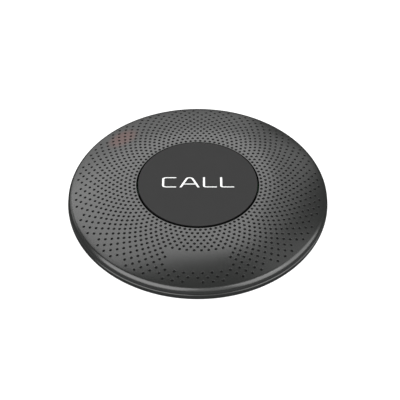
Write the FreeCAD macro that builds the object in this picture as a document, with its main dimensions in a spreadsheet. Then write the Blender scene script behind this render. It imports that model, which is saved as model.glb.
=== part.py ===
"""Waiter call button: a round, domed table button with a large key, a radio board and a coin cell.

Millimetres. The origin is the middle of the footprint on the table, +Z is up, +Y points away from
the guest who reads the legend, and every height is counted from the table.
"""

import FreeCAD, Part
import math
import os
from types import SimpleNamespace

import Sketcher

# Driving dimensions. Every one has a row in the document's sheet, and every sub-part reads it there.
SIZES = {
    # Case, outside
    "case_radius": 45.0,            # widest part of the case
    "crown_height": 12.0,           # highest circle of the dome
    "crown_circle": 18.6,           # radius of that circle
    "edge_height": 8.24,            # where the dome's curve meets the upright side
    "case_edge_bevel": 0.6,         # bevel between the two
    "skirt_height": 2.34,           # upright side of the upper shell
    "parting_bevel": 0.3,           # bevel of the lower shell's rim
    "rim_height": 0.5,              # upright rim of the lower shell
    "hull_round": 3.2,              # curve from the rim inwards
    "hull_inset": 3.3,              # from the widest circle in to the flat underside
    # Case, walls and joint
    "foot_proud": 0.8,              # gap under the case
    "floor_wall": 1.6,
    "shell_wall": 1.5,              # thickness of the dome
    "skirt_wall": 1.8,              # thickness of the upright side
    "tongue_wall": 0.9,             # lip of the lower shell inside the upper one
    "tongue_height": 0.6,
    "tongue_gap": 0.1,
    "inner_slope_height": 1.6,      # sloping inside corner of the lower shell
    "seal_gap": 0.05,               # free space on each side of the case seal
    # Case screws
    "case_screw_inset": 8.0,        # screw circle, in from the widest circle
    "case_screw_shank": 2.6,
    "case_screw_head": 4.6,
    "case_screw_head_height": 1.5,
    "case_screw_length": 5.0,
    "screw_recess": 5.4,            # diameter of the recess for the head
    "screw_seat_height": 2.7,
    "case_boss": 5.6,               # diameter of the upper shell's bosses
    "base_boss": 6.8,               # diameter of the lower shell's bosses
    "boss_joint_height": 5.0,
    "boss_cover": 0.25,             # material left above a boss where the dome is lowest
    "screw_gap": 0.1,               # all round a shank in its hole
    # Rubber feet
    "foot_diameter": 10.0,
    "foot_recess": 0.6,
    "foot_inset": 7.5,              # foot circle, in from the rim of the flat underside
    "foot_bevel": 0.3,
    "foot_gap": 0.15,
    # Key
    "key_radius": 20.5,
    "key_gap": 0.5,                 # open ring round the key
    "key_proud": 0.5,               # face of the key over the crown
    "key_plate": 1.5,
    "key_edge_bevel": 0.3,
    "key_wall": 1.2,
    "key_travel": 0.5,
    "post_radius": 2.0,             # post that pushes the switch
    "post_gap": 0.05,
    "skirt_depth": 1.35,            # skirt below the key's plate
    "opening_bevel": 0.2,           # edge of the opening in the dome
    "hook_reach": 0.7,              # snap hooks under the edge of the opening
    "hook_gap": 0.15,
    "hook_edge": 0.3,               # upright end of a hook, over its sloping underside
    "hook_width_angle": 16.0,
    "hook_slot_angle": 2.2,
    "hook_slot_offset_angle": 10.5,
    "key_rib_height": 0.5,
    "key_rib_wall": 0.8,
    "key_rib_gap": 0.9,             # from the spring out to the ribs
    # Key guide and spring
    "peg_circle": 15.0,
    "peg_diameter": 2.4,
    "peg_gap": 0.15,
    "peg_floor_gap": 0.2,           # under a peg when the key is down
    "sleeve_wall": 1.0,
    "sleeve_height": 1.6,
    "guide_plate": 0.9,
    "guide_bore_radius": 8.0,
    "guide_radius": 18.0,
    "guide_rim_height": 0.8,
    "guide_rim_wall": 0.8,
    "guide_arm_width": 5.0,
    "spring_sheet": 0.3,
    "spring_radius": 11.7,
    "spring_bore_radius": 9.6,
    "spring_rim_gap": 0.2,          # from the spring to the rim that centres it
    "spring_gap": 0.05,             # over and under the spring
    "finger_width": 1.8,
    "finger_length": 10.0,
    "finger_inset": 1.7,            # a finger's outer side, in from the spring's widest circle
    "finger_flat": 1.2,             # level stretch at both ends of a finger
    # Circuit board
    "board_height": 6.3,            # underside of the board
    "board_thickness": 0.8,
    "board_edge_gap": 4.7,
    "board_notch_gap": 0.5,         # between a case boss and the board
    "board_post": 5.0,              # diameter of the posts under the dome
    "board_screw_shank": 1.9,
    "board_screw_head": 3.8,
    "board_screw_head_height": 1.1,
    "board_screw_length": 3.6,
    # Tactile switch
    "switch_side": 6.0,
    "switch_base_height": 1.65,
    "switch_corner": 0.6,
    "switch_cavity_radius": 2.3,
    "switch_cavity_depth": 1.05,
    "switch_cover_sheet": 0.2,
    "switch_cover_bore": 1.8,
    "plunger_radius": 1.65,
    "plunger_flange": 2.1,
    "plunger_flange_height": 0.25,
    "plunger_rise": 0.65,           # over the cover plate
    "dome_sheet": 0.12,             # snap dome
    "dome_rise": 0.5,
    "dome_foot_radius": 2.15,
    "dome_flat_radius": 0.8,
    "switch_lead": 0.2,
    "switch_lead_width": 0.7,
    "switch_lead_length": 1.0,
    # Indicator light
    "light_inset": 8.8,             # middle of the light, in from the widest circle
    "light_angle": 135.0,
    "light_window_width": 5.0,      # across the ring
    "light_window_angle": 14.4,     # along the ring
    "light_window_wall": 0.7,
    "light_guide_gap": 0.1,
    "light_guide_edge": 0.2,        # its thickness where the dome is lowest
    "led_length": 3.5,
    "led_width": 2.8,
    "led_height": 0.9,
    "led_lens_radius": 1.2,
    "led_lens_height": 0.3,
    # Radio parts
    "chip_height": 1.5,
    "chip_width": 3.9,
    "chip_lead": 0.2,
    "chip_lead_width": 0.45,
    "chip_lead_reach": 1.0,
    "chip_pitch": 1.27,
    "radio_chip_length": 10.0,
    "radio_chip_offset": 5.0,       # middle of the chip, out from the key's opening
    "encoder_chip_length": 4.9,
    "crystal_length": 5.0,
    "crystal_width": 3.2,
    "crystal_height": 1.2,
    "inductor_radius": 2.5,
    "inductor_core_radius": 1.4,
    "inductor_height": 2.2,
    "inductor_flange": 0.5,
    "chip_part_length": 2.0,
    "chip_part_width": 1.25,
    "chip_part_height": 0.7,
    "antenna_inset": 6.3,           # middle of the wire, in from the board's edge
    "antenna_wire": 0.8,            # side of the square wire
    "antenna_height": 1.3,          # middle of the wire over the board
    # Coin cell
    "cell_radius": 10.0,
    "cell_height": 3.2,
    "can_sheet": 0.25,
    "can_height": 3.0,
    "can_corner": 0.4,
    "crimp_reach": 0.7,
    "crimp_height": 0.5,
    "cap_radius": 8.7,
    "cap_corner": 0.2,
    "cell_gasket_wall": 0.55,
    "cell_gap": 0.05,
    # Contacts
    "contact_sheet": 0.2,
    "contact_width": 4.0,
    "contact_gap": 0.1,
    "positive_contact_foot": 2.2,
    "negative_contact_reach": 7.0,
    "negative_contact_flat": 1.2,
    # Battery door
    "door_rim": 1.9,                # flange, out from the door's plug
    "door_rim_gap": 0.2,
    "door_inset": 0.1,              # door's face above the case's underside
    "door_flange": 1.05,
    "door_seat_gap": 0.05,
    "door_floor": 1.3,
    "plug_gap": 0.3,
    "tray_height": 1.4,             # rim of the door's tray over its floor
    "tray_wall": 1.1,
    "tray_gap": 0.3,                # round the cell
    "ledge_height": 0.8,
    "lug_reach": 1.2,
    "lug_height": 0.7,
    "lug_gap": 0.1,
    "lug_angle": 24.0,
    "notch_angle": 30.0,
    "door_turn_angle": 35.0,
    "stop_height": 0.6,
    "stop_wall_angle": 3.0,
    "stop_gap_angle": 1.0,
    "coin_slot_length": 17.0,
    "coin_slot_width": 2.2,
    "coin_slot_depth": 0.7,
    "door_seal_side": 0.65,         # side of the seal's square section
    "door_groove_depth": 0.6,
    "door_groove_height": 0.8,
    # Battery well and floor ribs
    "well_gap": 0.6,                # from the lugs to the wall of the well
    "well_wall": 1.2,
    "well_board_gap": 0.1,
    "floor_rib_height": 1.2,
    "floor_rib_wall": 1.0,
    "floor_rib_end_gap": 12.0,      # from the widest circle in to the end of a rib
}

# Counts and directions that the layout needs; angles turn counter-clockwise from +X, in degrees.
CASE_SCREWS = 4
FEET = 4
FIRST_FOOT_ANGLE = 45
POSTS = 3
FIRST_POST_ANGLE = 30
PEGS = 3
FIRST_PEG_ANGLE = 90
LUGS = 3
FIRST_LUG_ANGLE = 90
KEY_RIBS = 6
SPRING_FINGERS = 3
FLOOR_RIBS = 8
FIRST_FLOOR_RIB_ANGLE = 22.5
UNDERSIDE_CONES = 3                 # the dome's underside is made of this many cones
RADIO_CHIP_ANGLE = 90
ENCODER_CHIP_ANGLE = 345
CRYSTAL_ANGLE = 60
INDUCTOR_ANGLE = 120
CAPACITORS = 3
FIRST_CAPACITOR_ANGLE = 38
RESISTORS = 3
FIRST_RESISTOR_ANGLE = 157
CHIP_PART_STEP = 7                  # angle from one capacitor or resistor to the next
ANTENNA_START = 205
ANTENNA_END = 335
COS_45 = math.sqrt(0.5)

doc = FreeCAD.newDocument("CallButton")


class Size:
    """A length or angle that holds its number together with the sheet expression it comes from."""

    def __init__(self, text, number):
        self.text = text
        self.number = number

    def __add__(self, other):
        return Size(f"({self.text} + {as_size(other).text})", self.number + as_size(other).number)

    def __sub__(self, other):
        return Size(f"({self.text} - {as_size(other).text})", self.number - as_size(other).number)

    def __mul__(self, other):
        return Size(f"({self.text} * {as_size(other).text})", self.number * as_size(other).number)

    def __truediv__(self, other):
        return Size(f"({self.text} / {as_size(other).text})", self.number / as_size(other).number)

    def root(self):
        return Size(f"sqrt({self.text})", math.sqrt(self.number))


def as_size(value):
    """A plain number as a Size; a Size as it is."""
    return value if isinstance(value, Size) else Size(repr(value), value)


def make_sheet():
    """The document's sheet of driving dimensions, and a Size for each of its rows."""
    sheet = doc.addObject("Spreadsheet::Sheet", "Sizes")
    for row, (name, value) in enumerate(SIZES.items(), start=1):
        sheet.set(f"A{row}", name)
        sheet.set(f"B{row}", str(value))
        sheet.setAlias(f"B{row}", name)
    doc.recompute()
    return SimpleNamespace(**{name: Size(f"Sizes.{name}", value) for name, value in SIZES.items()})


s = make_sheet()

# Levels, counted from the table
floor_top = s.foot_proud + s.floor_wall
parting_height = s.edge_height - s.skirt_height
hull_height = parting_height - s.rim_height
board_top = s.board_height + s.board_thickness
guide_top = board_top + s.guide_plate
key_top = s.crown_height + s.key_proud
plate_bottom = key_top - s.key_plate
skirt_bottom = plate_bottom - s.skirt_depth
switch_top = board_top + s.switch_base_height + s.switch_cover_sheet
plunger_top = switch_top + s.plunger_rise
door_face = s.foot_proud + s.door_inset
door_tray = door_face + s.door_floor
flange_top = door_face + s.door_flange
ledge_bottom = flange_top + s.door_seat_gap
ledge_top = ledge_bottom + s.ledge_height
lug_bottom = ledge_top + s.lug_gap
cell_top = door_tray + s.cell_height
can_top = door_tray + s.can_height

# Arc of the dome's section, from its highest circle down to the upright side
dome_drop = s.crown_height - s.edge_height
dome_reach = s.case_radius - s.crown_circle
dome_radius = (dome_reach * dome_reach + dome_drop * dome_drop) / (dome_drop * 2)

# Radii, counted from the middle of the case
floor_radius = s.case_radius - s.hull_inset
skirt_inside = s.case_radius - s.skirt_wall
tongue_outside = skirt_inside - s.tongue_gap
tongue_inside = tongue_outside - s.tongue_wall
opening_radius = s.key_radius + s.key_gap
case_screw_circle = s.case_radius - s.case_screw_inset
foot_circle = floor_radius - s.foot_inset
board_radius = skirt_inside - s.board_edge_gap
light_circle = s.case_radius - s.light_inset
antenna_circle = board_radius - s.antenna_inset
board_post_circle = (opening_radius + s.hook_reach + antenna_circle - s.antenna_wire / 2) / 2
radio_chip_circle = opening_radius + s.radio_chip_offset
encoder_chip_circle = (opening_radius + board_radius) / 2
spring_rim_inside = s.spring_radius + s.spring_rim_gap
can_inside = s.cell_radius - s.can_sheet
tray_radius = s.cell_radius + s.tray_gap
plug_radius = tray_radius + s.tray_wall
door_radius = plug_radius + s.door_rim
ledge_radius = plug_radius + s.plug_gap
lug_radius = plug_radius + s.lug_reach
well_radius = lug_radius + s.well_gap


def dome_height(radius, depth=0.0):
    """Height of the dome at a radius, or of the surface that lies a depth under it."""
    arc = dome_radius - depth
    out = as_size(radius) - s.crown_circle
    return s.crown_height - dome_radius + (arc * arc - out * out).root()


def bind(thing, name, size):
    """Tie one property of an object to the sheet."""
    thing.setExpression(name, as_size(size).text)


def new_body(label):
    """An empty body whose label becomes the name of the sub-part."""
    body = doc.addObject("PartDesign::Body", label)
    body.Label = label
    return body


def origin_part(body, role):
    """One of the body's own origin planes or axes."""
    return next(part for part in body.Origin.OriginFeatures if part.Role == role)


def new_sketch(body, name, plane, offset=0.0, turn=0.0):
    """An empty sketch at an offset from its plane, turned about the Z axis.

    On XY_Plane the offset is a height. On XZ_Plane it counts towards -Y, and goes with no turn.
    """
    sketch = body.newObject("Sketcher::SketchObject", name)
    sketch.AttachmentSupport = [(origin_part(body, plane), "")]
    sketch.MapMode = "FlatFace"
    axis = FreeCAD.Vector(0, 0, 1) if plane == "XY_Plane" else FreeCAD.Vector(0, 1, 0)
    turned = FreeCAD.Rotation(axis, as_size(turn).number)
    sketch.AttachmentOffset = FreeCAD.Placement(FreeCAD.Vector(0, 0, as_size(offset).number), turned)
    if isinstance(offset, Size):
        bind(sketch, "AttachmentOffset.Base.z", offset)
    return sketch


def pin(sketch, geometry, point_on_it, place):
    """Hold a point of the sketch at its two distances from the sketch's origin."""
    for axis, kind, distance in zip((-2, -1), ("DistanceX", "DistanceY"), place):
        distance = as_size(distance)
        if distance.number == 0:
            held = Sketcher.Constraint("PointOnObject", geometry, point_on_it, axis)
            sketch.addConstraint(held)
        else:
            held = Sketcher.Constraint(kind, -1, 1, geometry, point_on_it, distance.number)
            bind(sketch, f"Constraints[{sketch.addConstraint(held)}]", distance)


def arc_between(start, end, radius):
    """The arc from start to end. A positive radius turns left on the way, a negative one right."""
    way = end - start
    left = FreeCAD.Vector(-way.y, way.x, 0).normalize()
    reach = math.sqrt(radius * radius - way.Length * way.Length / 4)
    centre = start + way / 2 + left * math.copysign(reach, radius)
    first, last = (start, end) if radius > 0 else (end, start)
    circle = Part.Circle(centre, FreeCAD.Vector(0, 0, 1), abs(radius))
    return Part.ArcOfCircle(circle, circle.parameter(first), circle.parameter(last))


def draw(sketch, corners, arcs=None):
    """Draw a closed outline through its corners.

    arcs gives the radius of each side that is an arc, by the number of the corner it starts from. A
    half circle follows its two ends and runs on smoothly from the side before it.
    """
    arcs = arcs or {}
    spots = [FreeCAD.Vector(as_size(x).number, as_size(y).number, 0) for x, y in corners]
    sides = []
    half_circles = set()
    for number, start in enumerate(spots):
        end = spots[(number + 1) % len(spots)]
        if number not in arcs:
            sides.append((sketch.addGeometry(Part.LineSegment(start, end), False), 1, 2))
            continue
        radius = as_size(arcs[number])
        side = sketch.addGeometry(arc_between(start, end, radius.number), False)
        sides.append((side, 1, 2) if radius.number > 0 else (side, 2, 1))
        if abs(start.distanceToPoint(end) - 2 * abs(radius.number)) < 0.000001:
            half_circles.add(number)
        else:
            length = Sketcher.Constraint("Radius", side, abs(radius.number))
            length = sketch.addConstraint(length)
            bind(sketch, f"Constraints[{length}]", radius if radius.number > 0 else radius * -1)
    for number, (side, start, end) in enumerate(sides):
        following = (number + 1) % len(sides)
        joint = "Tangent" if following in half_circles else "Coincident"
        next_side, next_start, _ = sides[following]
        sketch.addConstraint(Sketcher.Constraint(joint, side, end, next_side, next_start))
        pin(sketch, side, start, corners[number])
    return sketch


def draw_circle(sketch, centre, diameter):
    """Draw a circle at a centre."""
    radius = as_size(diameter) / 2
    spot = FreeCAD.Vector(as_size(centre[0]).number, as_size(centre[1]).number, 0)
    ring = sketch.addGeometry(Part.Circle(spot, FreeCAD.Vector(0, 0, 1), radius.number), False)
    pin(sketch, ring, 3, centre)
    length = Sketcher.Constraint("Radius", ring, radius.number)
    bind(sketch, f"Constraints[{sketch.addConstraint(length)}]", radius)
    return sketch


def draw_rectangle(sketch, low, high):
    """Draw a rectangle between two opposite corners."""
    return draw(sketch, [low, (high[0], low[1]), high, (low[0], high[1])])


def add_feature(body, kind, name, **settings):
    """Add a feature to a body, make it the body's tip and recompute."""
    feature = body.newObject(f"PartDesign::{kind}", name)
    for setting, value in settings.items():
        if isinstance(value, Size):
            bind(feature, setting, value)
        else:
            setattr(feature, setting, value)
    body.Tip = feature
    doc.recompute()
    return feature


def spin(body, name, sketch, angle=360.0, cut=False):
    """Turn an upright sketch about the Z axis, all the way or evenly to both sides of its plane."""
    kind = "Groove" if cut else "Revolution"
    part_way = as_size(angle).number < 360
    return add_feature(body, kind, name, Profile=sketch, ReferenceAxis=(sketch, ["V_Axis"]),
                       Angle=angle, Midplane=part_way)


def pad(body, name, sketch, length, down=False, both_ways=False):
    """Raise a sketch by a length."""
    return add_feature(body, "Pad", name, Profile=sketch, Length=as_size(length), Reversed=down,
                       Midplane=both_ways)


def pocket(body, name, sketch, depth, up=False):
    """Cut a sketch into the body, downwards or upwards."""
    return add_feature(body, "Pocket", name, Profile=sketch, Length=as_size(depth), Reversed=up)


def repeat_around(body, name, features, count):
    """Repeat features evenly about the Z axis."""
    return add_feature(body, "PolarPattern", name, Originals=features, Angle=360, Occurrences=count,
                       Axis=(origin_part(body, "Z_Axis"), [""]))


def move(thing, x=0.0, y=0.0, z=0.0, turn=0.0):
    """Give a sub-part its place."""
    spot = FreeCAD.Vector(as_size(x).number, as_size(y).number, as_size(z).number)
    thing.Placement = FreeCAD.Placement(spot, FreeCAD.Rotation(FreeCAD.Vector(0, 0, 1), turn))
    for axis, distance in zip("xyz", (x, y, z)):
        bind(thing, f"Placement.Base.{axis}", distance)


def on_circle(circle, degrees):
    """Point on a circle about the Z axis."""
    angle = math.radians(degrees)
    return circle * round(math.cos(angle), 9), circle * round(math.sin(angle), 9)


# ---------------------------------------------------------------- case

def make_base_shell():
    """Lower case: a shallow dish that turns in under its rim, with the battery well in the middle."""
    body = new_body("base_shell")
    turn_in = s.hull_round * (1 - COS_45)
    turn_down = s.hull_round * COS_45
    slope_foot = tongue_inside - s.inner_slope_height
    counterbore = door_radius + s.door_rim_gap
    well_top = s.board_height - s.well_board_gap
    section = draw(new_sketch(body, "dish_section", "XZ_Plane"), [
        (counterbore, s.foot_proud),
        (floor_radius, s.foot_proud),
        (s.case_radius - turn_in, hull_height - turn_down),
        (s.case_radius, hull_height),
        (s.case_radius, parting_height - s.parting_bevel),
        (s.case_radius - s.parting_bevel, parting_height),
        (tongue_outside, parting_height),
        (tongue_outside, parting_height + s.tongue_height),
        (tongue_inside, parting_height + s.tongue_height),
        (tongue_inside, floor_top + s.inner_slope_height),
        (slope_foot, floor_top),
        (well_radius + s.well_wall, floor_top),
        (well_radius + s.well_wall, well_top),
        (well_radius, well_top),
        (well_radius, ledge_top),
        (ledge_radius, ledge_top),
        (ledge_radius, ledge_bottom),
        (counterbore, ledge_bottom),
    ], arcs={2: s.hull_round})
    spin(body, "dish", section)

    boss = draw_circle(new_sketch(body, "boss_outline", "XY_Plane", floor_top - s.floor_wall / 2),
                       (case_screw_circle, 0), s.base_boss)
    boss = pad(body, "boss", boss, s.boss_joint_height - floor_top + s.floor_wall / 2)
    repeat_around(body, "bosses", [boss], CASE_SCREWS)
    recess = draw_circle(new_sketch(body, "recess_outline", "XY_Plane", s.foot_proud),
                         (case_screw_circle, 0), s.screw_recess)
    recess = pocket(body, "recess", recess, s.screw_seat_height - s.foot_proud, up=True)
    repeat_around(body, "recesses", [recess], CASE_SCREWS)
    hole = draw_circle(new_sketch(body, "screw_hole_outline", "XY_Plane", s.foot_proud),
                       (case_screw_circle, 0), s.case_screw_shank + s.screw_gap * 2)
    hole = pocket(body, "screw_hole", hole, s.boss_joint_height - s.foot_proud, up=True)
    repeat_around(body, "screw_holes", [hole], CASE_SCREWS)

    foot_seat = new_sketch(body, "foot_seat_outline", "XY_Plane", s.foot_proud, FIRST_FOOT_ANGLE)
    draw_circle(foot_seat, (foot_circle, 0), s.foot_diameter + s.foot_gap * 2)
    foot_seat = pocket(body, "foot_seat", foot_seat, s.foot_recess, up=True)
    repeat_around(body, "foot_seats", [foot_seat], FEET)

    notch = new_sketch(body, "notch_section", "XZ_Plane", turn=FIRST_LUG_ANGLE - s.door_turn_angle.number)
    draw_rectangle(notch, (ledge_radius - s.plug_gap, ledge_bottom),
                   (lug_radius + s.plug_gap, ledge_top))
    notch = spin(body, "notch", notch, s.notch_angle, cut=True)
    repeat_around(body, "notches", [notch], LUGS)
    stop_angle = FIRST_LUG_ANGLE + (s.lug_angle.number + s.stop_wall_angle.number) / 2
    stop = new_sketch(body, "stop_section", "XZ_Plane", turn=stop_angle + s.stop_gap_angle.number)
    draw_rectangle(stop, (ledge_radius + s.plug_gap, ledge_top - s.ledge_height / 2),
                   (well_radius + s.well_wall / 2, ledge_top + s.stop_height))
    stop = spin(body, "stop", stop, s.stop_wall_angle)
    repeat_around(body, "stops", [stop], LUGS)

    rib = new_sketch(body, "rib_outline", "XY_Plane", floor_top - s.floor_wall / 2,
                     FIRST_FLOOR_RIB_ANGLE)
    draw_rectangle(rib, (well_radius + s.well_wall / 2, s.floor_rib_wall / -2),
                   (s.case_radius - s.floor_rib_end_gap, s.floor_rib_wall / 2))
    rib = pad(body, "rib", rib, s.floor_rib_height + s.floor_wall / 2)
    repeat_around(body, "ribs", [rib], FLOOR_RIBS)
    return body


def make_top_shell():
    """Upper case: a shallow dome with the key's opening, a skirt, bosses and posts underneath."""
    body = new_body("top_shell")
    dome_start = opening_radius + s.opening_bevel
    dome_end = s.case_radius - s.case_edge_bevel
    cone_width = (skirt_inside - opening_radius) / UNDERSIDE_CONES
    underside = [skirt_inside - cone_width * number for number in range(UNDERSIDE_CONES + 1)]
    section = draw(new_sketch(body, "dome_section", "XZ_Plane"), [
        (dome_start, dome_height(dome_start)),
        (dome_end, dome_height(dome_end)),
        (s.case_radius, dome_height(s.case_radius) - s.case_edge_bevel),
        (s.case_radius, parting_height),
        (skirt_inside, parting_height),
        *[(radius, dome_height(radius, s.shell_wall)) for radius in underside],
        (opening_radius, dome_height(opening_radius) - s.opening_bevel),
    ], arcs={0: dome_radius * -1})
    spin(body, "dome", section)

    boss_end = dome_height(case_screw_circle + s.case_boss / 2) - s.boss_cover
    boss = draw_circle(new_sketch(body, "boss_outline", "XY_Plane", s.boss_joint_height),
                       (case_screw_circle, 0), s.case_boss)
    boss = pad(body, "boss", boss, boss_end - s.boss_joint_height)
    repeat_around(body, "bosses", [boss], CASE_SCREWS)
    pilot = draw_circle(new_sketch(body, "boss_pilot_outline", "XY_Plane", s.boss_joint_height),
                        (case_screw_circle, 0), s.case_screw_shank + s.screw_gap)
    tip = s.screw_seat_height + s.case_screw_length
    pilot = pocket(body, "boss_pilot", pilot, tip + s.screw_gap - s.boss_joint_height, up=True)
    repeat_around(body, "boss_pilots", [pilot], CASE_SCREWS)

    post_end = dome_height(board_post_circle + s.board_post / 2) - s.boss_cover
    post = new_sketch(body, "post_outline", "XY_Plane", guide_top, FIRST_POST_ANGLE)
    draw_circle(post, (board_post_circle, 0), s.board_post)
    post = pad(body, "post", post, post_end - guide_top)
    repeat_around(body, "posts", [post], POSTS)
    pilot = new_sketch(body, "post_pilot_outline", "XY_Plane", guide_top, FIRST_POST_ANGLE)
    draw_circle(pilot, (board_post_circle, 0), s.board_screw_shank + s.screw_gap)
    tip = s.board_height + s.board_screw_length
    pilot = pocket(body, "post_pilot", pilot, tip + s.screw_gap - guide_top, up=True)
    repeat_around(body, "post_pilots", [pilot], POSTS)

    window = new_sketch(body, "light_window_section", "XZ_Plane", turn=s.light_angle)
    low = light_circle - s.light_window_width / 2
    high = light_circle + s.light_window_width / 2
    under = dome_height(high, s.shell_wall * 2)
    draw(window, [
        (low, under),
        (high, under),
        (high, dome_height(high, s.light_window_wall)),
        (low, dome_height(low, s.light_window_wall)),
    ], arcs={2: dome_radius - s.light_window_wall})
    spin(body, "light_window", window, s.light_window_angle, cut=True)
    return body


def make_case_seal():
    """Ring seal between the lower shell's tongue and the underside of the dome."""
    body = new_body("case_seal")
    foot = parting_height + s.tongue_height + s.seal_gap
    inside = tongue_inside + s.seal_gap
    outside = tongue_outside - s.seal_gap
    roof = s.shell_wall + s.seal_gap * 2
    section = draw(new_sketch(body, "seal_section", "XZ_Plane"), [
        (inside, foot),
        (outside, foot),
        (outside, dome_height(outside, roof)),
        (inside, dome_height(inside, roof)),
    ])
    spin(body, "seal", section)
    return body


def make_spun_group(label, circle, first_angle, count, section):
    """Equal turned pieces on a circle about the Z axis, as one group of separate solids.

    section lists corners as a distance from the piece's own axis and a height.
    """
    body = new_body(label)
    sketch = new_sketch(body, "section", "XZ_Plane", turn=first_angle)
    draw(sketch, [(circle + out, up) for out, up in section])
    axis = Part.LineSegment(FreeCAD.Vector(circle.number, 0, 0), FreeCAD.Vector(circle.number, 1, 0))
    line = sketch.addGeometry(axis, True)
    pin(sketch, line, 1, (circle, 0))
    pin(sketch, line, 2, (circle, 1))
    piece = add_feature(body, "Revolution", "piece", Profile=sketch, Angle=360,
                        ReferenceAxis=(sketch, ["Axis0"]))
    repeat_around(body, "pieces", [piece], count)
    return body


def make_case_screws():
    """Four self-tapping screws with flat round heads, from below into the upper shell's bosses."""
    seat = s.screw_seat_height
    tip = seat + s.case_screw_length
    shank = s.case_screw_shank / 2
    head = s.case_screw_head / 2
    return make_spun_group("case_screws", case_screw_circle, 0, CASE_SCREWS, [
        (0, seat - s.case_screw_head_height),
        (head, seat - s.case_screw_head_height),
        (head, seat),
        (shank, seat),
        (shank, tip),
        (0, tip),
    ])


def make_board_screws():
    """Three small screws from below through the board and the key guide into the posts."""
    seat = s.board_height
    shank = s.board_screw_shank / 2
    head = s.board_screw_head / 2
    return make_spun_group("board_screws", board_post_circle, FIRST_POST_ANGLE, POSTS, [
        (0, seat - s.board_screw_head_height),
        (head, seat - s.board_screw_head_height),
        (head, seat),
        (shank, seat),
        (shank, seat + s.board_screw_length),
        (0, seat + s.board_screw_length),
    ])


def make_rubber_feet():
    """Four round rubber feet, let into the underside."""
    foot = s.foot_diameter / 2
    return make_spun_group("rubber_feet", foot_circle, FIRST_FOOT_ANGLE, FEET, [
        (0, 0),
        (foot - s.foot_bevel, 0),
        (foot, s.foot_bevel),
        (foot, s.foot_proud + s.foot_recess),
        (0, s.foot_proud + s.foot_recess),
    ])


# ---------------------------------------------------------------- key

def make_call_key():
    """Key: a flat disc with a skirt, snap hooks, guide pegs, a post and ribs."""
    body = new_body("call_key")
    inside = s.key_radius - s.key_wall
    section = draw(new_sketch(body, "disc_section", "XZ_Plane"), [
        (0, key_top),
        (s.key_radius - s.key_edge_bevel, key_top),
        (s.key_radius, key_top - s.key_edge_bevel),
        (s.key_radius, skirt_bottom),
        (inside, skirt_bottom),
        (inside, plate_bottom),
        (s.post_radius, plate_bottom),
        (s.post_radius, plunger_top + s.post_gap),
        (0, plunger_top + s.post_gap),
    ])
    spin(body, "disc", section)

    hook_top = dome_height(opening_radius, s.shell_wall) - s.hook_gap
    hook_end = opening_radius + s.hook_reach
    hook = new_sketch(body, "hook_section", "XZ_Plane", turn=FIRST_POST_ANGLE)
    draw(hook, [
        (s.key_radius - s.key_wall / 2, skirt_bottom),
        (s.key_radius, skirt_bottom),
        (hook_end, hook_top - s.hook_edge),
        (hook_end, hook_top),
        (s.key_radius - s.key_wall / 2, hook_top),
    ])
    hook = spin(body, "hook", hook, s.hook_width_angle)
    repeat_around(body, "hooks", [hook], POSTS)
    slots = []
    for side in (-1, 1):
        turn = FIRST_POST_ANGLE + side * s.hook_slot_offset_angle.number
        slot = new_sketch(body, f"slot_section_{len(slots) + 1}", "XZ_Plane", turn=turn)
        draw_rectangle(slot, (inside - s.key_gap, skirt_bottom - s.key_gap),
                       (s.key_radius + s.key_gap, plate_bottom))
        slots.append(spin(body, f"slot_{len(slots) + 1}", slot, s.hook_slot_angle, cut=True))
    repeat_around(body, "slots", slots, POSTS)

    peg_end = board_top + s.key_travel + s.peg_floor_gap
    peg = new_sketch(body, "peg_outline", "XY_Plane", peg_end, FIRST_PEG_ANGLE)
    draw_circle(peg, (s.peg_circle, 0), s.peg_diameter)
    peg = pad(body, "peg", peg, plate_bottom + s.key_plate / 2 - peg_end)
    repeat_around(body, "pegs", [peg], PEGS)
    rib = new_sketch(body, "rib_outline", "XY_Plane", plate_bottom + s.key_plate / 2)
    draw_rectangle(rib, (s.spring_radius + s.key_rib_gap, s.key_rib_wall / -2),
                   (s.key_radius - s.key_wall / 2, s.key_rib_wall / 2))
    rib = pad(body, "rib", rib, s.key_rib_height + s.key_plate / 2, down=True)
    repeat_around(body, "ribs", [rib], KEY_RIBS)
    return body


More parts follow.
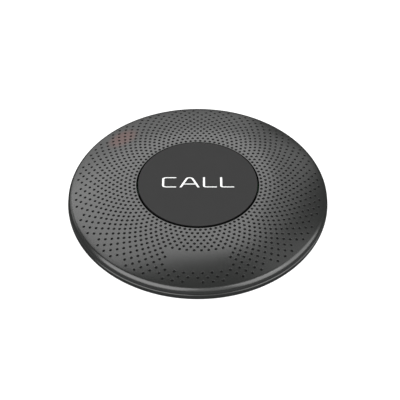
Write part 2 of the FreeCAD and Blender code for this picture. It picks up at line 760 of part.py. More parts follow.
def make_key_guide():
    """Ring under the key: a seat for the spring, three sleeves for the pegs and three screwed arms."""
    body = new_body("key_guide")
    rim_outside = spring_rim_inside + s.guide_rim_wall
    section = draw(new_sketch(body, "ring_section", "XZ_Plane"), [
        (s.guide_bore_radius, board_top),
        (s.guide_radius, board_top),
        (s.guide_radius, guide_top),
        (rim_outside, guide_top),
        (rim_outside, guide_top + s.guide_rim_height),
        (spring_rim_inside, guide_top + s.guide_rim_height),
        (spring_rim_inside, guide_top),
        (s.guide_bore_radius, guide_top),
    ])
    spin(body, "ring", section)

    arm = new_sketch(body, "arm_outline", "XY_Plane", board_top, FIRST_POST_ANGLE)
    arm_root = (s.guide_bore_radius + s.guide_radius) / 2
    half = s.guide_arm_width / 2
    draw(arm, [
        (arm_root, half * -1),
        (board_post_circle, half * -1),
        (board_post_circle, half),
        (arm_root, half),
    ], arcs={1: half})
    arm = pad(body, "arm", arm, s.guide_plate)
    repeat_around(body, "arms", [arm], POSTS)
    hole = new_sketch(body, "screw_hole_outline", "XY_Plane", board_top, FIRST_POST_ANGLE)
    draw_circle(hole, (board_post_circle, 0), s.board_screw_shank + s.screw_gap * 2)
    hole = pocket(body, "screw_hole", hole, s.guide_plate, up=True)
    repeat_around(body, "screw_holes", [hole], POSTS)

    bore = s.peg_diameter + s.peg_gap * 2
    sleeve = new_sketch(body, "sleeve_outline", "XY_Plane", board_top, FIRST_PEG_ANGLE)
    draw_circle(sleeve, (s.peg_circle, 0), bore + s.sleeve_wall * 2)
    sleeve = pad(body, "sleeve", sleeve, s.guide_plate + s.sleeve_height)
    repeat_around(body, "sleeves", [sleeve], PEGS)
    bore_outline = new_sketch(body, "bore_outline", "XY_Plane", board_top, FIRST_PEG_ANGLE)
    draw_circle(bore_outline, (s.peg_circle, 0), bore)
    bored = pocket(body, "sleeve_bore", bore_outline, s.guide_plate + s.sleeve_height, up=True)
    repeat_around(body, "sleeve_bores", [bored], PEGS)
    return body


def make_return_spring():
    """Finger spring: a flat steel ring on the key guide with three fingers bent up to the key."""
    body = new_body("return_spring")
    low = guide_top + s.spring_gap
    high = plate_bottom - s.spring_gap
    outline = new_sketch(body, "ring_outline", "XY_Plane", low)
    draw_circle(outline, (0, 0), s.spring_radius * 2)
    draw_circle(outline, (0, 0), s.spring_bore_radius * 2)
    pad(body, "ring", outline, s.spring_sheet)

    start = s.finger_length / -2
    end = s.finger_length / 2
    inner_side = s.spring_radius - s.finger_inset - s.finger_width
    finger = draw(new_sketch(body, "finger_side", "XZ_Plane", inner_side), [
        (start, low),
        (start + s.finger_flat, low),
        (end - s.finger_flat, high - s.spring_sheet),
        (end, high - s.spring_sheet),
        (end, high),
        (end - s.finger_flat, high),
        (start + s.finger_flat, low + s.spring_sheet),
        (start, low + s.spring_sheet),
    ])
    finger = pad(body, "finger", finger, s.finger_width)
    repeat_around(body, "fingers", [finger], SPRING_FINGERS)
    return body


# ---------------------------------------------------------------- board and switch

def make_circuit_board():
    """Round board with notches for the case bosses and holes for the board screws."""
    body = new_body("circuit_board")
    outline = new_sketch(body, "board_outline", "XY_Plane", s.board_height)
    pad(body, "board", draw_circle(outline, (0, 0), board_radius * 2), s.board_thickness)
    notch = draw_circle(new_sketch(body, "notch_outline", "XY_Plane", s.board_height),
                        (case_screw_circle, 0), s.case_boss + s.board_notch_gap * 2)
    notch = pocket(body, "notch", notch, s.board_thickness, up=True)
    repeat_around(body, "notches", [notch], CASE_SCREWS)
    hole = new_sketch(body, "screw_hole_outline", "XY_Plane", s.board_height, FIRST_POST_ANGLE)
    draw_circle(hole, (board_post_circle, 0), s.board_screw_shank + s.screw_gap * 2)
    hole = pocket(body, "screw_hole", hole, s.board_thickness, up=True)
    repeat_around(body, "screw_holes", [hole], POSTS)
    return body


def make_switch_base():
    """Square moulded base of the tactile switch with a round cavity for its dome."""
    body = new_body("switch_base")
    half = s.switch_side / 2
    cut = half - s.switch_corner
    outline = draw(new_sketch(body, "base_outline", "XY_Plane"), [
        (cut, half * -1), (half, cut * -1), (half, cut), (cut, half),
        (cut * -1, half), (half * -1, cut), (half * -1, cut * -1), (cut * -1, half * -1),
    ])
    pad(body, "block", outline, s.switch_base_height)
    cavity = draw_circle(new_sketch(body, "cavity_outline", "XY_Plane", s.switch_base_height),
                         (0, 0), s.switch_cavity_radius * 2)
    pocket(body, "cavity", cavity, s.switch_cavity_depth)
    move(body, z=board_top)
    return body


def make_switch_terminals():
    """Four solder leads at the sides of the switch."""
    leads = []
    across = s.switch_side / 2 - s.switch_corner - s.switch_lead_width
    for side_x in (-1, 1):
        for side_y in (-1, 1):
            lead = doc.addObject("Part::Box", "switch_lead")
            bind(lead, "Length", s.switch_lead_length)
            bind(lead, "Width", s.switch_lead_width)
            bind(lead, "Height", s.switch_lead)
            near_x = s.switch_side / 2 if side_x > 0 else s.switch_side / -2 - s.switch_lead_length
            near_y = across if side_y > 0 else across * -1 - s.switch_lead_width
            move(lead, near_x, near_y, board_top)
            leads.append(lead)
    return make_group("switch_terminals", leads)


def make_switch_dome():
    """Snap dome: a thin cone of spring steel with a flat top, on the floor of the switch's cavity."""
    body = new_body("switch_dome")
    foot = board_top + s.switch_base_height - s.switch_cavity_depth
    top = foot + s.dome_rise
    section = draw(new_sketch(body, "cap_section", "XZ_Plane"), [
        (0, top),
        (s.dome_flat_radius, top),
        (s.dome_foot_radius, foot),
        (s.dome_foot_radius - s.dome_sheet * 2, foot),
        (s.dome_flat_radius, top - s.dome_sheet),
        (0, top - s.dome_sheet),
    ])
    spin(body, "cap", section)
    return body


def make_switch_plunger():
    """Round plunger of the switch, held down by the flange under the cover plate."""
    body = new_body("switch_plunger")
    dome_top = board_top + s.switch_base_height - s.switch_cavity_depth + s.dome_rise
    foot = dome_top + s.post_gap
    section = draw(new_sketch(body, "plunger_section", "XZ_Plane"), [
        (0, foot),
        (s.plunger_flange, foot),
        (s.plunger_flange, foot + s.plunger_flange_height),
        (s.plunger_radius, foot + s.plunger_flange_height),
        (s.plunger_radius, plunger_top),
        (0, plunger_top),
    ])
    spin(body, "plunger", section)
    return body


def make_switch_cover():
    """Steel cover plate of the switch with a round hole for the plunger."""
    body = new_body("switch_cover")
    half = s.switch_side / 2
    outline = new_sketch(body, "plate_outline", "XY_Plane")
    draw_rectangle(outline, (half * -1, half * -1), (half, half))
    draw_circle(outline, (0, 0), s.switch_cover_bore * 2)
    pad(body, "plate", outline, s.switch_cover_sheet)
    move(body, z=board_top + s.switch_base_height)
    return body


# ---------------------------------------------------------------- parts on the board

def make_group(label, solids):
    """Equal small pieces as one sub-part of separate solids."""
    group = doc.addObject("Part::Compound", label)
    group.Label = label
    group.Links = solids
    doc.recompute()
    return group


def make_chip(label, length, circle, degrees):
    """Flat chip with a row of leads along both long sides, on a circle round the key."""
    body = new_body(label)
    half = s.chip_width / 2
    section = new_sketch(body, "chip_section", "XZ_Plane")
    waist = s.chip_height / 2
    slant = s.chip_lead / 2
    draw(section, [
        (half * -1 + slant, s.chip_lead), (half - slant, s.chip_lead), (half, waist),
        (half - slant, s.chip_height), (half * -1 + slant, s.chip_height), (half * -1, waist),
    ])
    pad(body, "block", section, length, both_ways=True)
    lead = new_sketch(body, "lead_outline", "XY_Plane")
    reach = half + s.chip_lead_reach
    last = length / 2 - s.chip_pitch / 2 + s.chip_lead_width / 2
    draw_rectangle(lead, (reach * -1, last - s.chip_lead_width), (reach, last))
    lead = pad(body, "lead", lead, s.chip_lead + s.chip_lead / 2)
    count = int(length.number / s.chip_pitch.number)
    add_feature(body, "LinearPattern", "leads", Originals=[lead],
                Direction=(origin_part(body, "Y_Axis"), [""]), Reversed=True,
                Length=s.chip_pitch * (count - 1), Occurrences=count)
    x, y = on_circle(circle, degrees)
    move(body, x, y, board_top, degrees)
    return body


def make_box(label, size, circle, degrees):
    """Small block on the board, its length across the radius."""
    box = doc.addObject("Part::Box", label)
    box.Label = label
    for side, extent in zip(("Width", "Length", "Height"), size):
        bind(box, side, extent)
    x, y = on_circle(circle, degrees)
    corner_x, corner_y = on_circle((size[1] * size[1] + size[0] * size[0]).root() / 2,
                                   degrees + math.degrees(math.atan2(size[0].number, size[1].number)))
    move(box, x - corner_x, y - corner_y, board_top, degrees)
    return box


def make_chip_parts(label, first_angle, count):
    """A row of small ceramic blocks beside the antenna's circle."""
    size = (s.chip_part_length, s.chip_part_width, s.chip_part_height)
    angles = [first_angle + CHIP_PART_STEP * number for number in range(count)]
    return make_group(label, [make_box(f"{label}_block", size, antenna_circle, angle)
                              for angle in angles])


def make_tuning_inductor(circle, degrees):
    """Wound drum core: a bobbin between two flanges."""
    body = new_body("tuning_inductor")
    waist_low = s.inductor_flange
    waist_high = s.inductor_height - s.inductor_flange
    section = draw(new_sketch(body, "drum_section", "XZ_Plane"), [
        (0, 0),
        (s.inductor_radius, 0),
        (s.inductor_radius, waist_low),
        (s.inductor_core_radius, waist_low),
        (s.inductor_core_radius, waist_high),
        (s.inductor_radius, waist_high),
        (s.inductor_radius, s.inductor_height),
        (0, s.inductor_height),
    ])
    spin(body, "drum", section)
    x, y = on_circle(circle, degrees)
    move(body, x, y, board_top)
    return body


def make_antenna_wire():
    """Square wire that follows the edge of the board, with both ends bent down to it."""
    body = new_body("antenna_wire")
    half = s.antenna_wire / 2
    near = antenna_circle - half
    far = antenna_circle + half
    middle_height = board_top + s.antenna_height
    section = new_sketch(body, "wire_section", "XZ_Plane", turn=(ANTENNA_START + ANTENNA_END) / 2)
    draw_rectangle(section, (near, middle_height - half), (far, middle_height + half))
    spin(body, "loop", section, ANTENNA_END - ANTENNA_START)
    for number, degrees in enumerate((ANTENNA_START, ANTENNA_END), start=1):
        leg = new_sketch(body, f"leg_outline_{number}", "XY_Plane", board_top, degrees)
        draw_rectangle(leg, (near, half * -1), (far, half))
        pad(body, f"leg_{number}", leg, s.antenna_height + half)
    return body


def make_indicator_led():
    """Surface-mounted light: a flat block with a low round lens."""
    body = new_body("indicator_led")
    outline = new_sketch(body, "led_outline", "XY_Plane")
    draw_rectangle(outline, (s.led_width / -2, s.led_length / -2), (s.led_width / 2, s.led_length / 2))
    pad(body, "led_block", outline, s.led_height)
    lens_arc = (s.led_lens_radius * s.led_lens_radius + s.led_lens_height * s.led_lens_height) \
        / (s.led_lens_height * 2)
    lens = draw(new_sketch(body, "lens_section", "XZ_Plane"), [
        (0, s.led_height / 2),
        (s.led_lens_radius, s.led_height / 2),
        (s.led_lens_radius, s.led_height),
        (0, s.led_height + s.led_lens_height),
    ], arcs={2: lens_arc})
    spin(body, "lens", lens)
    x, y = on_circle(light_circle, s.light_angle.number)
    move(body, x, y, board_top, s.light_angle.number)
    return body


def make_light_guide():
    """Clear block in the thinned window of the dome, over the light."""
    body = new_body("light_guide")
    low = light_circle - s.light_window_width / 2 + s.light_guide_gap
    high = light_circle + s.light_window_width / 2 - s.light_guide_gap
    section = new_sketch(body, "guide_section", "XZ_Plane", turn=s.light_angle)
    roof = s.light_window_wall + s.light_guide_gap
    foot = dome_height(high, roof) - s.light_guide_edge
    draw(section, [
        (low, foot),
        (high, foot),
        (high, dome_height(high, roof)),
        (low, dome_height(low, roof)),
    ], arcs={2: dome_radius - roof})
    gap_angle = math.degrees(s.light_guide_gap.number * 2 / light_circle.number)
    spin(body, "guide", section, s.light_window_angle - gap_angle)
    return body


# ---------------------------------------------------------------- coin cell and its contacts

def make_coin_cell_can():
    """Steel can of the cell, its rim crimped in over the gasket."""
    body = new_body("coin_cell_can")
    crimp = s.cell_radius - s.crimp_reach
    section = draw(new_sketch(body, "can_section", "XZ_Plane"), [
        (0, door_tray),
        (s.cell_radius - s.can_corner, door_tray),
        (s.cell_radius, door_tray + s.can_corner),
        (s.cell_radius, can_top - s.crimp_height),
        (crimp, can_top),
        (crimp, can_top - s.can_sheet),
        (can_inside, can_top - s.crimp_height - s.can_sheet / 2),
        (can_inside, door_tray + s.can_sheet),
        (0, door_tray + s.can_sheet),
    ])
    spin(body, "can", section)
    return body


def make_coin_cell_cap():
    """Cap of the cell with what fills it."""
    body = new_body("coin_cell_cap")
    outside = can_inside - s.cell_gasket_wall - s.cell_gap * 2
    shoulder = can_top - s.crimp_height
    section = draw(new_sketch(body, "cap_section", "XZ_Plane"), [
        (0, door_tray + s.can_sheet + s.cell_gap),
        (outside, door_tray + s.can_sheet + s.cell_gap),
        (outside, shoulder),
        (s.cap_radius, cell_top - s.cap_corner),
        (s.cap_radius - s.cap_corner, cell_top),
        (0, cell_top),
    ])
    spin(body, "cap", section)
    return body


def make_coin_cell_gasket():
    """Plastic ring between the cell's can and cap."""
    body = new_body("coin_cell_gasket")
    outside = can_inside - s.cell_gap
    foot = door_tray + s.can_corner + s.cell_gap * 2
    head = can_top - s.crimp_height - s.can_sheet / 2 - s.cell_gap
    section = new_sketch(body, "gasket_section", "XZ_Plane")
    draw_rectangle(section, (outside - s.cell_gasket_wall, foot), (outside, head))
    spin(body, "gasket", section)
    return body


def make_positive_contact():
    """Sheet spring soldered under the board that leans on the side of the cell."""
    body = new_body("positive_contact")
    near = s.cell_radius + s.contact_gap
    back = near + s.contact_sheet * 2
    tray_rim = door_tray + s.tray_height
    foot = tray_rim + s.tray_gap
    bend = (foot + s.board_height) / 2
    sheet = s.contact_sheet
    section = draw(new_sketch(body, "strip_section", "XZ_Plane"), [
        (back, foot),
        (back + sheet, foot),
        (near + sheet, bend),
        (back + sheet, s.board_height - sheet),
        (back + s.positive_contact_foot, s.board_height - sheet),
        (back + s.positive_contact_foot, s.board_height),
        (back, s.board_height),
        (near, bend),
    ])
    pad(body, "strip", section, s.contact_width, both_ways=True)
    return body


def make_negative_contact():
    """Bowed sheet spring under the board that presses on the cell's cap."""
    body = new_body("negative_contact")
    reach = s.negative_contact_reach
    flat = s.negative_contact_flat
    sheet = s.contact_sheet
    low = cell_top + s.contact_gap / 2
    section = draw(new_sketch(body, "leaf_section", "XZ_Plane"), [
        (reach * -1, s.board_height - sheet),
        (reach * -1 + flat * 2, s.board_height - sheet),
        (flat * -1, low),
        (flat, low),
        (reach - flat, s.board_height - sheet * 2),
        (reach - flat, s.board_height - sheet),
        (flat, low + sheet),
        (flat * -1, low + sheet),
        (reach * -1 + flat * 2, s.board_height),
        (reach * -1, s.board_height),
    ])
    pad(body, "leaf", section, s.contact_width, both_ways=True)
    return body


# ---------------------------------------------------------------- battery door

def make_battery_door():
    """Bayonet door: a flange with a seal groove, a tray for the cell, three lugs and a coin slot."""
    body = new_body("battery_door")
    groove_low = door_face + (s.door_flange - s.door_groove_height) / 2
    groove_floor = door_radius - s.door_groove_depth
    tray_top = door_tray + s.tray_height
    section = draw(new_sketch(body, "door_section", "XZ_Plane"), [
        (0, door_face),
        (door_radius, door_face),
        (door_radius, groove_low),
        (groove_floor, groove_low),
        (groove_floor, groove_low + s.door_groove_height),
        (door_radius, groove_low + s.door_groove_height),
        (door_radius, flange_top),
        (plug_radius, flange_top),
        (plug_radius, tray_top),
        (tray_radius, tray_top),
        (tray_radius, door_tray),
        (0, door_tray),
    ])
    spin(body, "door", section)
    lug = new_sketch(body, "lug_section", "XZ_Plane", turn=FIRST_LUG_ANGLE)
    draw_rectangle(lug, ((plug_radius + tray_radius) / 2, lug_bottom),
                   (lug_radius, lug_bottom + s.lug_height))
    lug = spin(body, "lug", lug, s.lug_angle)
    repeat_around(body, "lugs", [lug], LUGS)
    slot = new_sketch(body, "coin_slot_outline", "XY_Plane", door_face)
    long_side = (s.coin_slot_length - s.coin_slot_width) / 2
    short_side = s.coin_slot_width / 2
    draw(slot, [
        (long_side * -1, short_side * -1), (long_side, short_side * -1),
        (long_side, short_side), (long_side * -1, short_side),
    ], arcs={1: short_side, 3: short_side})
    pocket(body, "coin_slot", slot, s.coin_slot_depth, up=True)
    return body


def make_door_seal():
    """Square ring seal in the groove of the door's rim."""
    body = new_body("door_seal")
    inside = door_radius - s.door_groove_depth + s.seal_gap
    foot = door_face + (s.door_flange - s.door_seal_side) / 2
    section = new_sketch(body, "ring_section", "XZ_Plane")
    draw_rectangle(section, (inside, foot), (inside + s.door_seal_side, foot + s.door_seal_side))
    spin(body, "ring", section)
    return body


def check_document():
    """Stop if an object of the document failed, or if a cut took nothing away."""
    doc.recompute()
    for thing in doc.Objects:
        if "Invalid" in thing.State or "Error" in thing.State:
            raise RuntimeError(f"{thing.Name} ({thing.Label}) is {thing.State}")
        if thing.isDerivedFrom("Sketcher::SketchObject") and not thing.FullyConstrained:
            raise RuntimeError(f"{thing.Name} is not fully constrained")
        if thing.TypeId in ("PartDesign::Pocket", "PartDesign::Groove"):
            if thing.BaseFeature.Shape.Volume - thing.Shape.Volume < 0.001:
                raise RuntimeError(f"{thing.Name} cuts nothing")


def write_parts(parts):
    """Write each sub-part to a file with its own name."""
    os.makedirs("parts", exist_ok=True)
    for part in parts:
        shape = part.Shape
        if shape.isNull() or not shape.isValid():
            raise RuntimeError(f"{part.Label} has no valid shape")
        shape.exportStep(f"parts/{part.Label}.step")


def main():
    """Build every sub-part, check the document and write the files."""
    crystal_size = (s.crystal_length, s.crystal_width, s.crystal_height)
    parts = [
        make_top_shell(),
        make_base_shell(),
        make_case_seal(),
        make_case_screws(),
        make_rubber_feet(),
        make_call_key(),
        make_key_guide(),
        make_return_spring(),
        make_circuit_board(),
        make_board_screws(),
        make_switch_base(),
        make_switch_terminals(),
        make_switch_dome(),
        make_switch_plunger(),
        make_switch_cover(),
        make_indicator_led(),
        make_light_guide(),
        make_chip("radio_chip", s.radio_chip_length, radio_chip_circle, RADIO_CHIP_ANGLE),
        make_chip("encoder_chip", s.encoder_chip_length, encoder_chip_circle, ENCODER_CHIP_ANGLE),
        make_box("crystal_can", crystal_size, radio_chip_circle, CRYSTAL_ANGLE),
        make_tuning_inductor(radio_chip_circle, INDUCTOR_ANGLE),
        make_chip_parts("chip_capacitors", FIRST_CAPACITOR_ANGLE, CAPACITORS),
        make_chip_parts("chip_resistors", FIRST_RESISTOR_ANGLE, RESISTORS),
        make_antenna_wire(),
        make_coin_cell_can(),
        make_coin_cell_cap(),
        make_coin_cell_gasket(),
        make_positive_contact(),
        make_negative_contact(),
        make_battery_door(),
        make_door_seal(),
    ]
    check_document()
    write_parts(parts)


main()
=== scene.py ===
"""Looks of a round table-top call button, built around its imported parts.

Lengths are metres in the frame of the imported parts: +Z is up, the table is z = 0, the key's axis is
x = y = 0 and the guest who reads the legend sits towards -Y. Turned pieces are drawn as a section of
(circle, height) points and spun about the key's axis.
"""

import logging
import math
from collections.abc import Callable
from dataclasses import dataclass
from enum import Enum

import bmesh
import bpy
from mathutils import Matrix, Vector


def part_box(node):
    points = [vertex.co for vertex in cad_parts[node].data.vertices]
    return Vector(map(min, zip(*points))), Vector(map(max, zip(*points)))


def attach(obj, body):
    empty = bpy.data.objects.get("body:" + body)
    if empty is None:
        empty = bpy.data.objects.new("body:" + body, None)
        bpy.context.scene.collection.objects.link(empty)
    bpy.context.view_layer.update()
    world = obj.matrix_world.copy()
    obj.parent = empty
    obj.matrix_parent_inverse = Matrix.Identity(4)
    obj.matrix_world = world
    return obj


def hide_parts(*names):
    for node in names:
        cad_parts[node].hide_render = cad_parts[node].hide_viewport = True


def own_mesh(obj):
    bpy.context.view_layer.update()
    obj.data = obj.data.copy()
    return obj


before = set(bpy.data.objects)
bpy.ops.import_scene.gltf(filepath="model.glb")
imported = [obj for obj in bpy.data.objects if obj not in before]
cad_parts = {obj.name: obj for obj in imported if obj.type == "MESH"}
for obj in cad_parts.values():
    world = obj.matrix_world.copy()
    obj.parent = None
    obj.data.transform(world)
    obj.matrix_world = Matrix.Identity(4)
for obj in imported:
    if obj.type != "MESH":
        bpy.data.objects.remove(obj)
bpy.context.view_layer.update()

MM = 0.001
MERGE = 0.001 * MM          # vertices closer than this are one
FULL_TURN = 2 * math.pi
QUARTER = 90                # degrees from one foot to the next, and from one screw to the next
SMOOTH_UNDER = 32.0         # faces that meet at a smaller angle, in degrees, shade as one surface
FOOT_RADIUS = 5.0 * MM
SCREW_INSET = 8.0 * MM      # from the case's widest circle in to the screws' axes

Point = tuple[float, float]
Mesh = bpy.types.Object

log = logging.getLogger("call_button")


# ---------------------------------------------------------------------------------------------
# Bench: drawing, turning, cutting and handing over a piece
# ---------------------------------------------------------------------------------------------


class Pick(Enum):
    """The kind of element that edit mode selects."""

    VERTICES = "VERT"
    FACES = "FACE"


class Join(Enum):
    """How a second solid changes a piece."""

    CUT = "DIFFERENCE"
    ADD = "UNION"


def arc(centre: Point, radius: float, start: float, end: float, steps: int) -> list[Point]:
    """Points along an arc of a section, both ends included.

    Args:
        centre: middle of the arc.
        radius: its radius.
        start: direction of its first point in degrees, counted from outwards towards up.
        end: direction of its last point.
        steps: number of equal parts.

    Returns:
        steps + 1 points.
    """
    turns = (math.radians(start + (end - start) * step / steps) for step in range(steps + 1))
    across, up = centre
    return [(across + radius * math.cos(turn), up + radius * math.sin(turn)) for turn in turns]


def draw_section(name: str, points: list[Point]) -> Mesh:
    """Draws a section in the XZ plane, one point after the other.

    Args:
        name: name of the piece that the section becomes.
        points: its (circle, height) points; a closed section ends where it starts.

    Returns:
        The new object, in edit mode.
    """
    bpy.ops.object.select_all(action="DESELECT")
    bpy.ops.mesh.primitive_plane_add(size=MM)
    obj = bpy.context.object
    obj.name = obj.data.name = name
    bpy.ops.object.mode_set(mode="EDIT")
    bpy.ops.mesh.select_mode(type=Pick.VERTICES.value)
    bpy.ops.mesh.merge(type="CENTER")
    places = [Vector((circle, 0.0, height)) for circle, height in points]
    bpy.ops.transform.translate(value=places[0])
    for here, there in zip(places, places[1:]):
        bpy.ops.mesh.extrude_region_move(TRANSFORM_OT_translate={"value": there - here})
    return obj


def close_up() -> None:
    """Merges what lies in one place and points every face outwards, in edit mode."""
    bpy.ops.mesh.select_mode(type=Pick.VERTICES.value)
    bpy.ops.mesh.select_all(action="SELECT")
    bpy.ops.mesh.remove_doubles(threshold=MERGE)
    bpy.ops.mesh.normals_make_consistent(inside=False)


def turn_section(name: str, points: list[Point], divisions: int) -> Mesh:
    """Makes a closed piece by spinning a section once round the Z axis.

    Args:
        name: name of the piece.
        points: section, closed or with both ends on the axis.
        divisions: number of equal parts round the piece.

    Returns:
        The piece, in edit mode.
    """
    obj = draw_section(name, points)
    bpy.ops.mesh.select_all(action="SELECT")
    bpy.ops.mesh.spin(
        steps=divisions, angle=FULL_TURN, center=(0, 0, 0), axis=(0, 0, 1), use_auto_merge=True,
    )
    close_up()
    return obj


def select(obj: Mesh, wanted: Callable[[Vector], bool]) -> None:
    """Selects vertices of a piece in edit mode by their place, and nothing else.

    Args:
        obj: piece in edit mode.
        wanted: says whether the vertex at this place is taken.
    """
    bpy.ops.mesh.select_mode(type=Pick.VERTICES.value)
    bpy.ops.mesh.select_all(action="DESELECT")
    mesh = bmesh.from_edit_mesh(obj.data)
    for vertex in mesh.verts:
        vertex.select_set(wanted(vertex.co))
    mesh.select_flush_mode()
    bmesh.update_edit_mesh(obj.data)


def leave_edit(obj: Mesh) -> Mesh:
    """Ends edit mode with only this piece selected.

    Args:
        obj: piece in edit mode.

    Returns:
        The piece.
    """
    bpy.ops.object.mode_set(mode="OBJECT")
    only(obj)
    return obj


def only(obj: Mesh) -> None:
    """Makes a piece the one that the next operator acts on.

    Args:
        obj: piece to select.
    """
    bpy.ops.object.select_all(action="DESELECT")
    obj.select_set(True)
    bpy.context.view_layer.objects.active = obj


def combine(obj: Mesh, other: Mesh, join: Join) -> None:
    """Cuts a solid out of a piece, or adds it, and removes the solid.

    Args:
        obj: piece that changes.
        other: solid that is used up.
        join: what happens with it.
    """
    only(obj)
    step = obj.modifiers.new("combine", "BOOLEAN")
    step.operation = join.value
    step.solver = "EXACT"
    step.object = other
    bpy.ops.object.modifier_apply(modifier=step.name)
    bpy.data.objects.remove(other)


def copy_turned(obj: Mesh, turn: float) -> Mesh:
    """Copies a piece with a mesh of its own, turned about the Z axis.

    Args:
        obj: piece to copy.
        turn: angle in degrees, counter-clockwise seen from above.

    Returns:
        The copy, with its turn in its mesh.
    """
    only(obj)
    bpy.ops.object.duplicate(linked=False)
    copy = bpy.context.object
    copy.rotation_euler.z = math.radians(turn)
    bpy.ops.object.transform_apply(location=False, rotation=True, scale=False)
    return copy


def join_all(objects: list[Mesh]) -> Mesh:
    """Joins pieces into the first one.

    Args:
        objects: pieces to join; only the first one is left.

    Returns:
        The joined piece.
    """
    only(objects[0])
    for obj in objects:
        obj.select_set(True)
    bpy.ops.object.join()
    return objects[0]


def move_mesh(obj: Mesh, offset: tuple[float, float, float]) -> None:
    """Moves a piece and leaves its object at the origin.

    Args:
        obj: piece to move.
        offset: how far it moves along each axis.
    """
    only(obj)
    obj.location = offset
    bpy.ops.object.transform_apply(location=True, rotation=False, scale=False)


def flat_bar(name: str, length: float, width: float) -> Mesh:
    """Adds a flat bar along X with its middle at the origin.

    Args:
        name: name of the bar.
        length: its size along X.
        width: its size along Y.

    Returns:
        The bar, in edit mode.
    """
    bpy.ops.object.select_all(action="DESELECT")
    bpy.ops.mesh.primitive_plane_add(size=1.0)
    obj = bpy.context.object
    obj.name = obj.data.name = name
    bpy.ops.object.mode_set(mode="EDIT")
    bpy.ops.transform.resize(value=(length, width, 1.0))
    return obj


def on_all_quarters(obj: Mesh) -> Mesh:
    """Copies a piece to the other three quarters of the case and joins all four into it."""
    return join_all([obj, *(copy_turned(obj, turn) for turn in range(QUARTER, 360, QUARTER))])


def dress_faces(
    obj: Mesh, finishes: tuple["Finish", ...], choose: Callable[[Vector, Vector], "Finish"],
) -> None:
    """Gives a piece several finishes.

    Args:
        obj: finished piece.
        finishes: all of its finishes, the main one first.
        choose: picks the finish of a face by its middle and its normal.
    """
    for finish in finishes:
        obj.data.materials.append(finish.material())
    for face in obj.data.polygons:
        face.material_index = finishes.index(choose(face.center, face.normal))


def hand_over(obj: Mesh, body: str, finish: "Finish", stands_for: str = "") -> Mesh:
    """Dresses a finished piece and puts it on its body.

    Args:
        obj: finished piece.
        body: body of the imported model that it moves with.
        finish: finish of the whole piece, unless it has slots of its own already.
        stands_for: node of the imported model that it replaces, if any.

    Returns:
        The piece.
    """
    only(obj)
    bpy.ops.object.shade_smooth_by_angle(angle=math.radians(SMOOTH_UNDER))
    if not obj.data.materials:
        obj.data.materials.append(finish.material())
    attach(obj, body)
    if stands_for:
        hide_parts(stands_for)
    log.info("%s: %d faces on %s", obj.name, len(obj.data.polygons), body)
    return obj


# ---------------------------------------------------------------------------------------------
# Finishes
# ---------------------------------------------------------------------------------------------


def linear(colour: str) -> tuple[float, float, float, float]:
    """Turns an sRGB hex colour to the linear RGBA that a shader takes.

    Args:
        colour: six hex digits, such as 1c1d1f.

    Returns:
        Linear red, green and blue, and full alpha.
    """
    parts = (int(colour[at:at + 2], 16) / 255 for at in (0, 2, 4))
    red, green, blue = (
        part / 12.92 if part <= 0.04045 else ((part + 0.055) / 1.055) ** 2.4
        for part in parts
    )
    return red, green, blue, 1.0


def add_node(
    tree: bpy.types.NodeTree,
    kind: str,
    settings: dict[str | int, object] | None = None,
    links: dict[str | int, bpy.types.NodeSocket] | None = None,
) -> bpy.types.Node:
    """Adds a node with its settings and links.

    Args:
        tree: node tree of the material.
        kind: the node's type name, without the leading ShaderNode.
        settings: values by the name or number of an input, or by the name of a property.
        links: outputs of other nodes by the name or number of the input that they feed.

    Returns:
        The new node.
    """
    node = tree.nodes.new(f"ShaderNode{kind}")
    for name, value in (settings or {}).items():
        if isinstance(name, int) or name in node.inputs:
            node.inputs[name].default_value = value
        else:
            setattr(node, name, value)
    for name, source in (links or {}).items():
        tree.links.new(source, node.inputs[name])
    return node


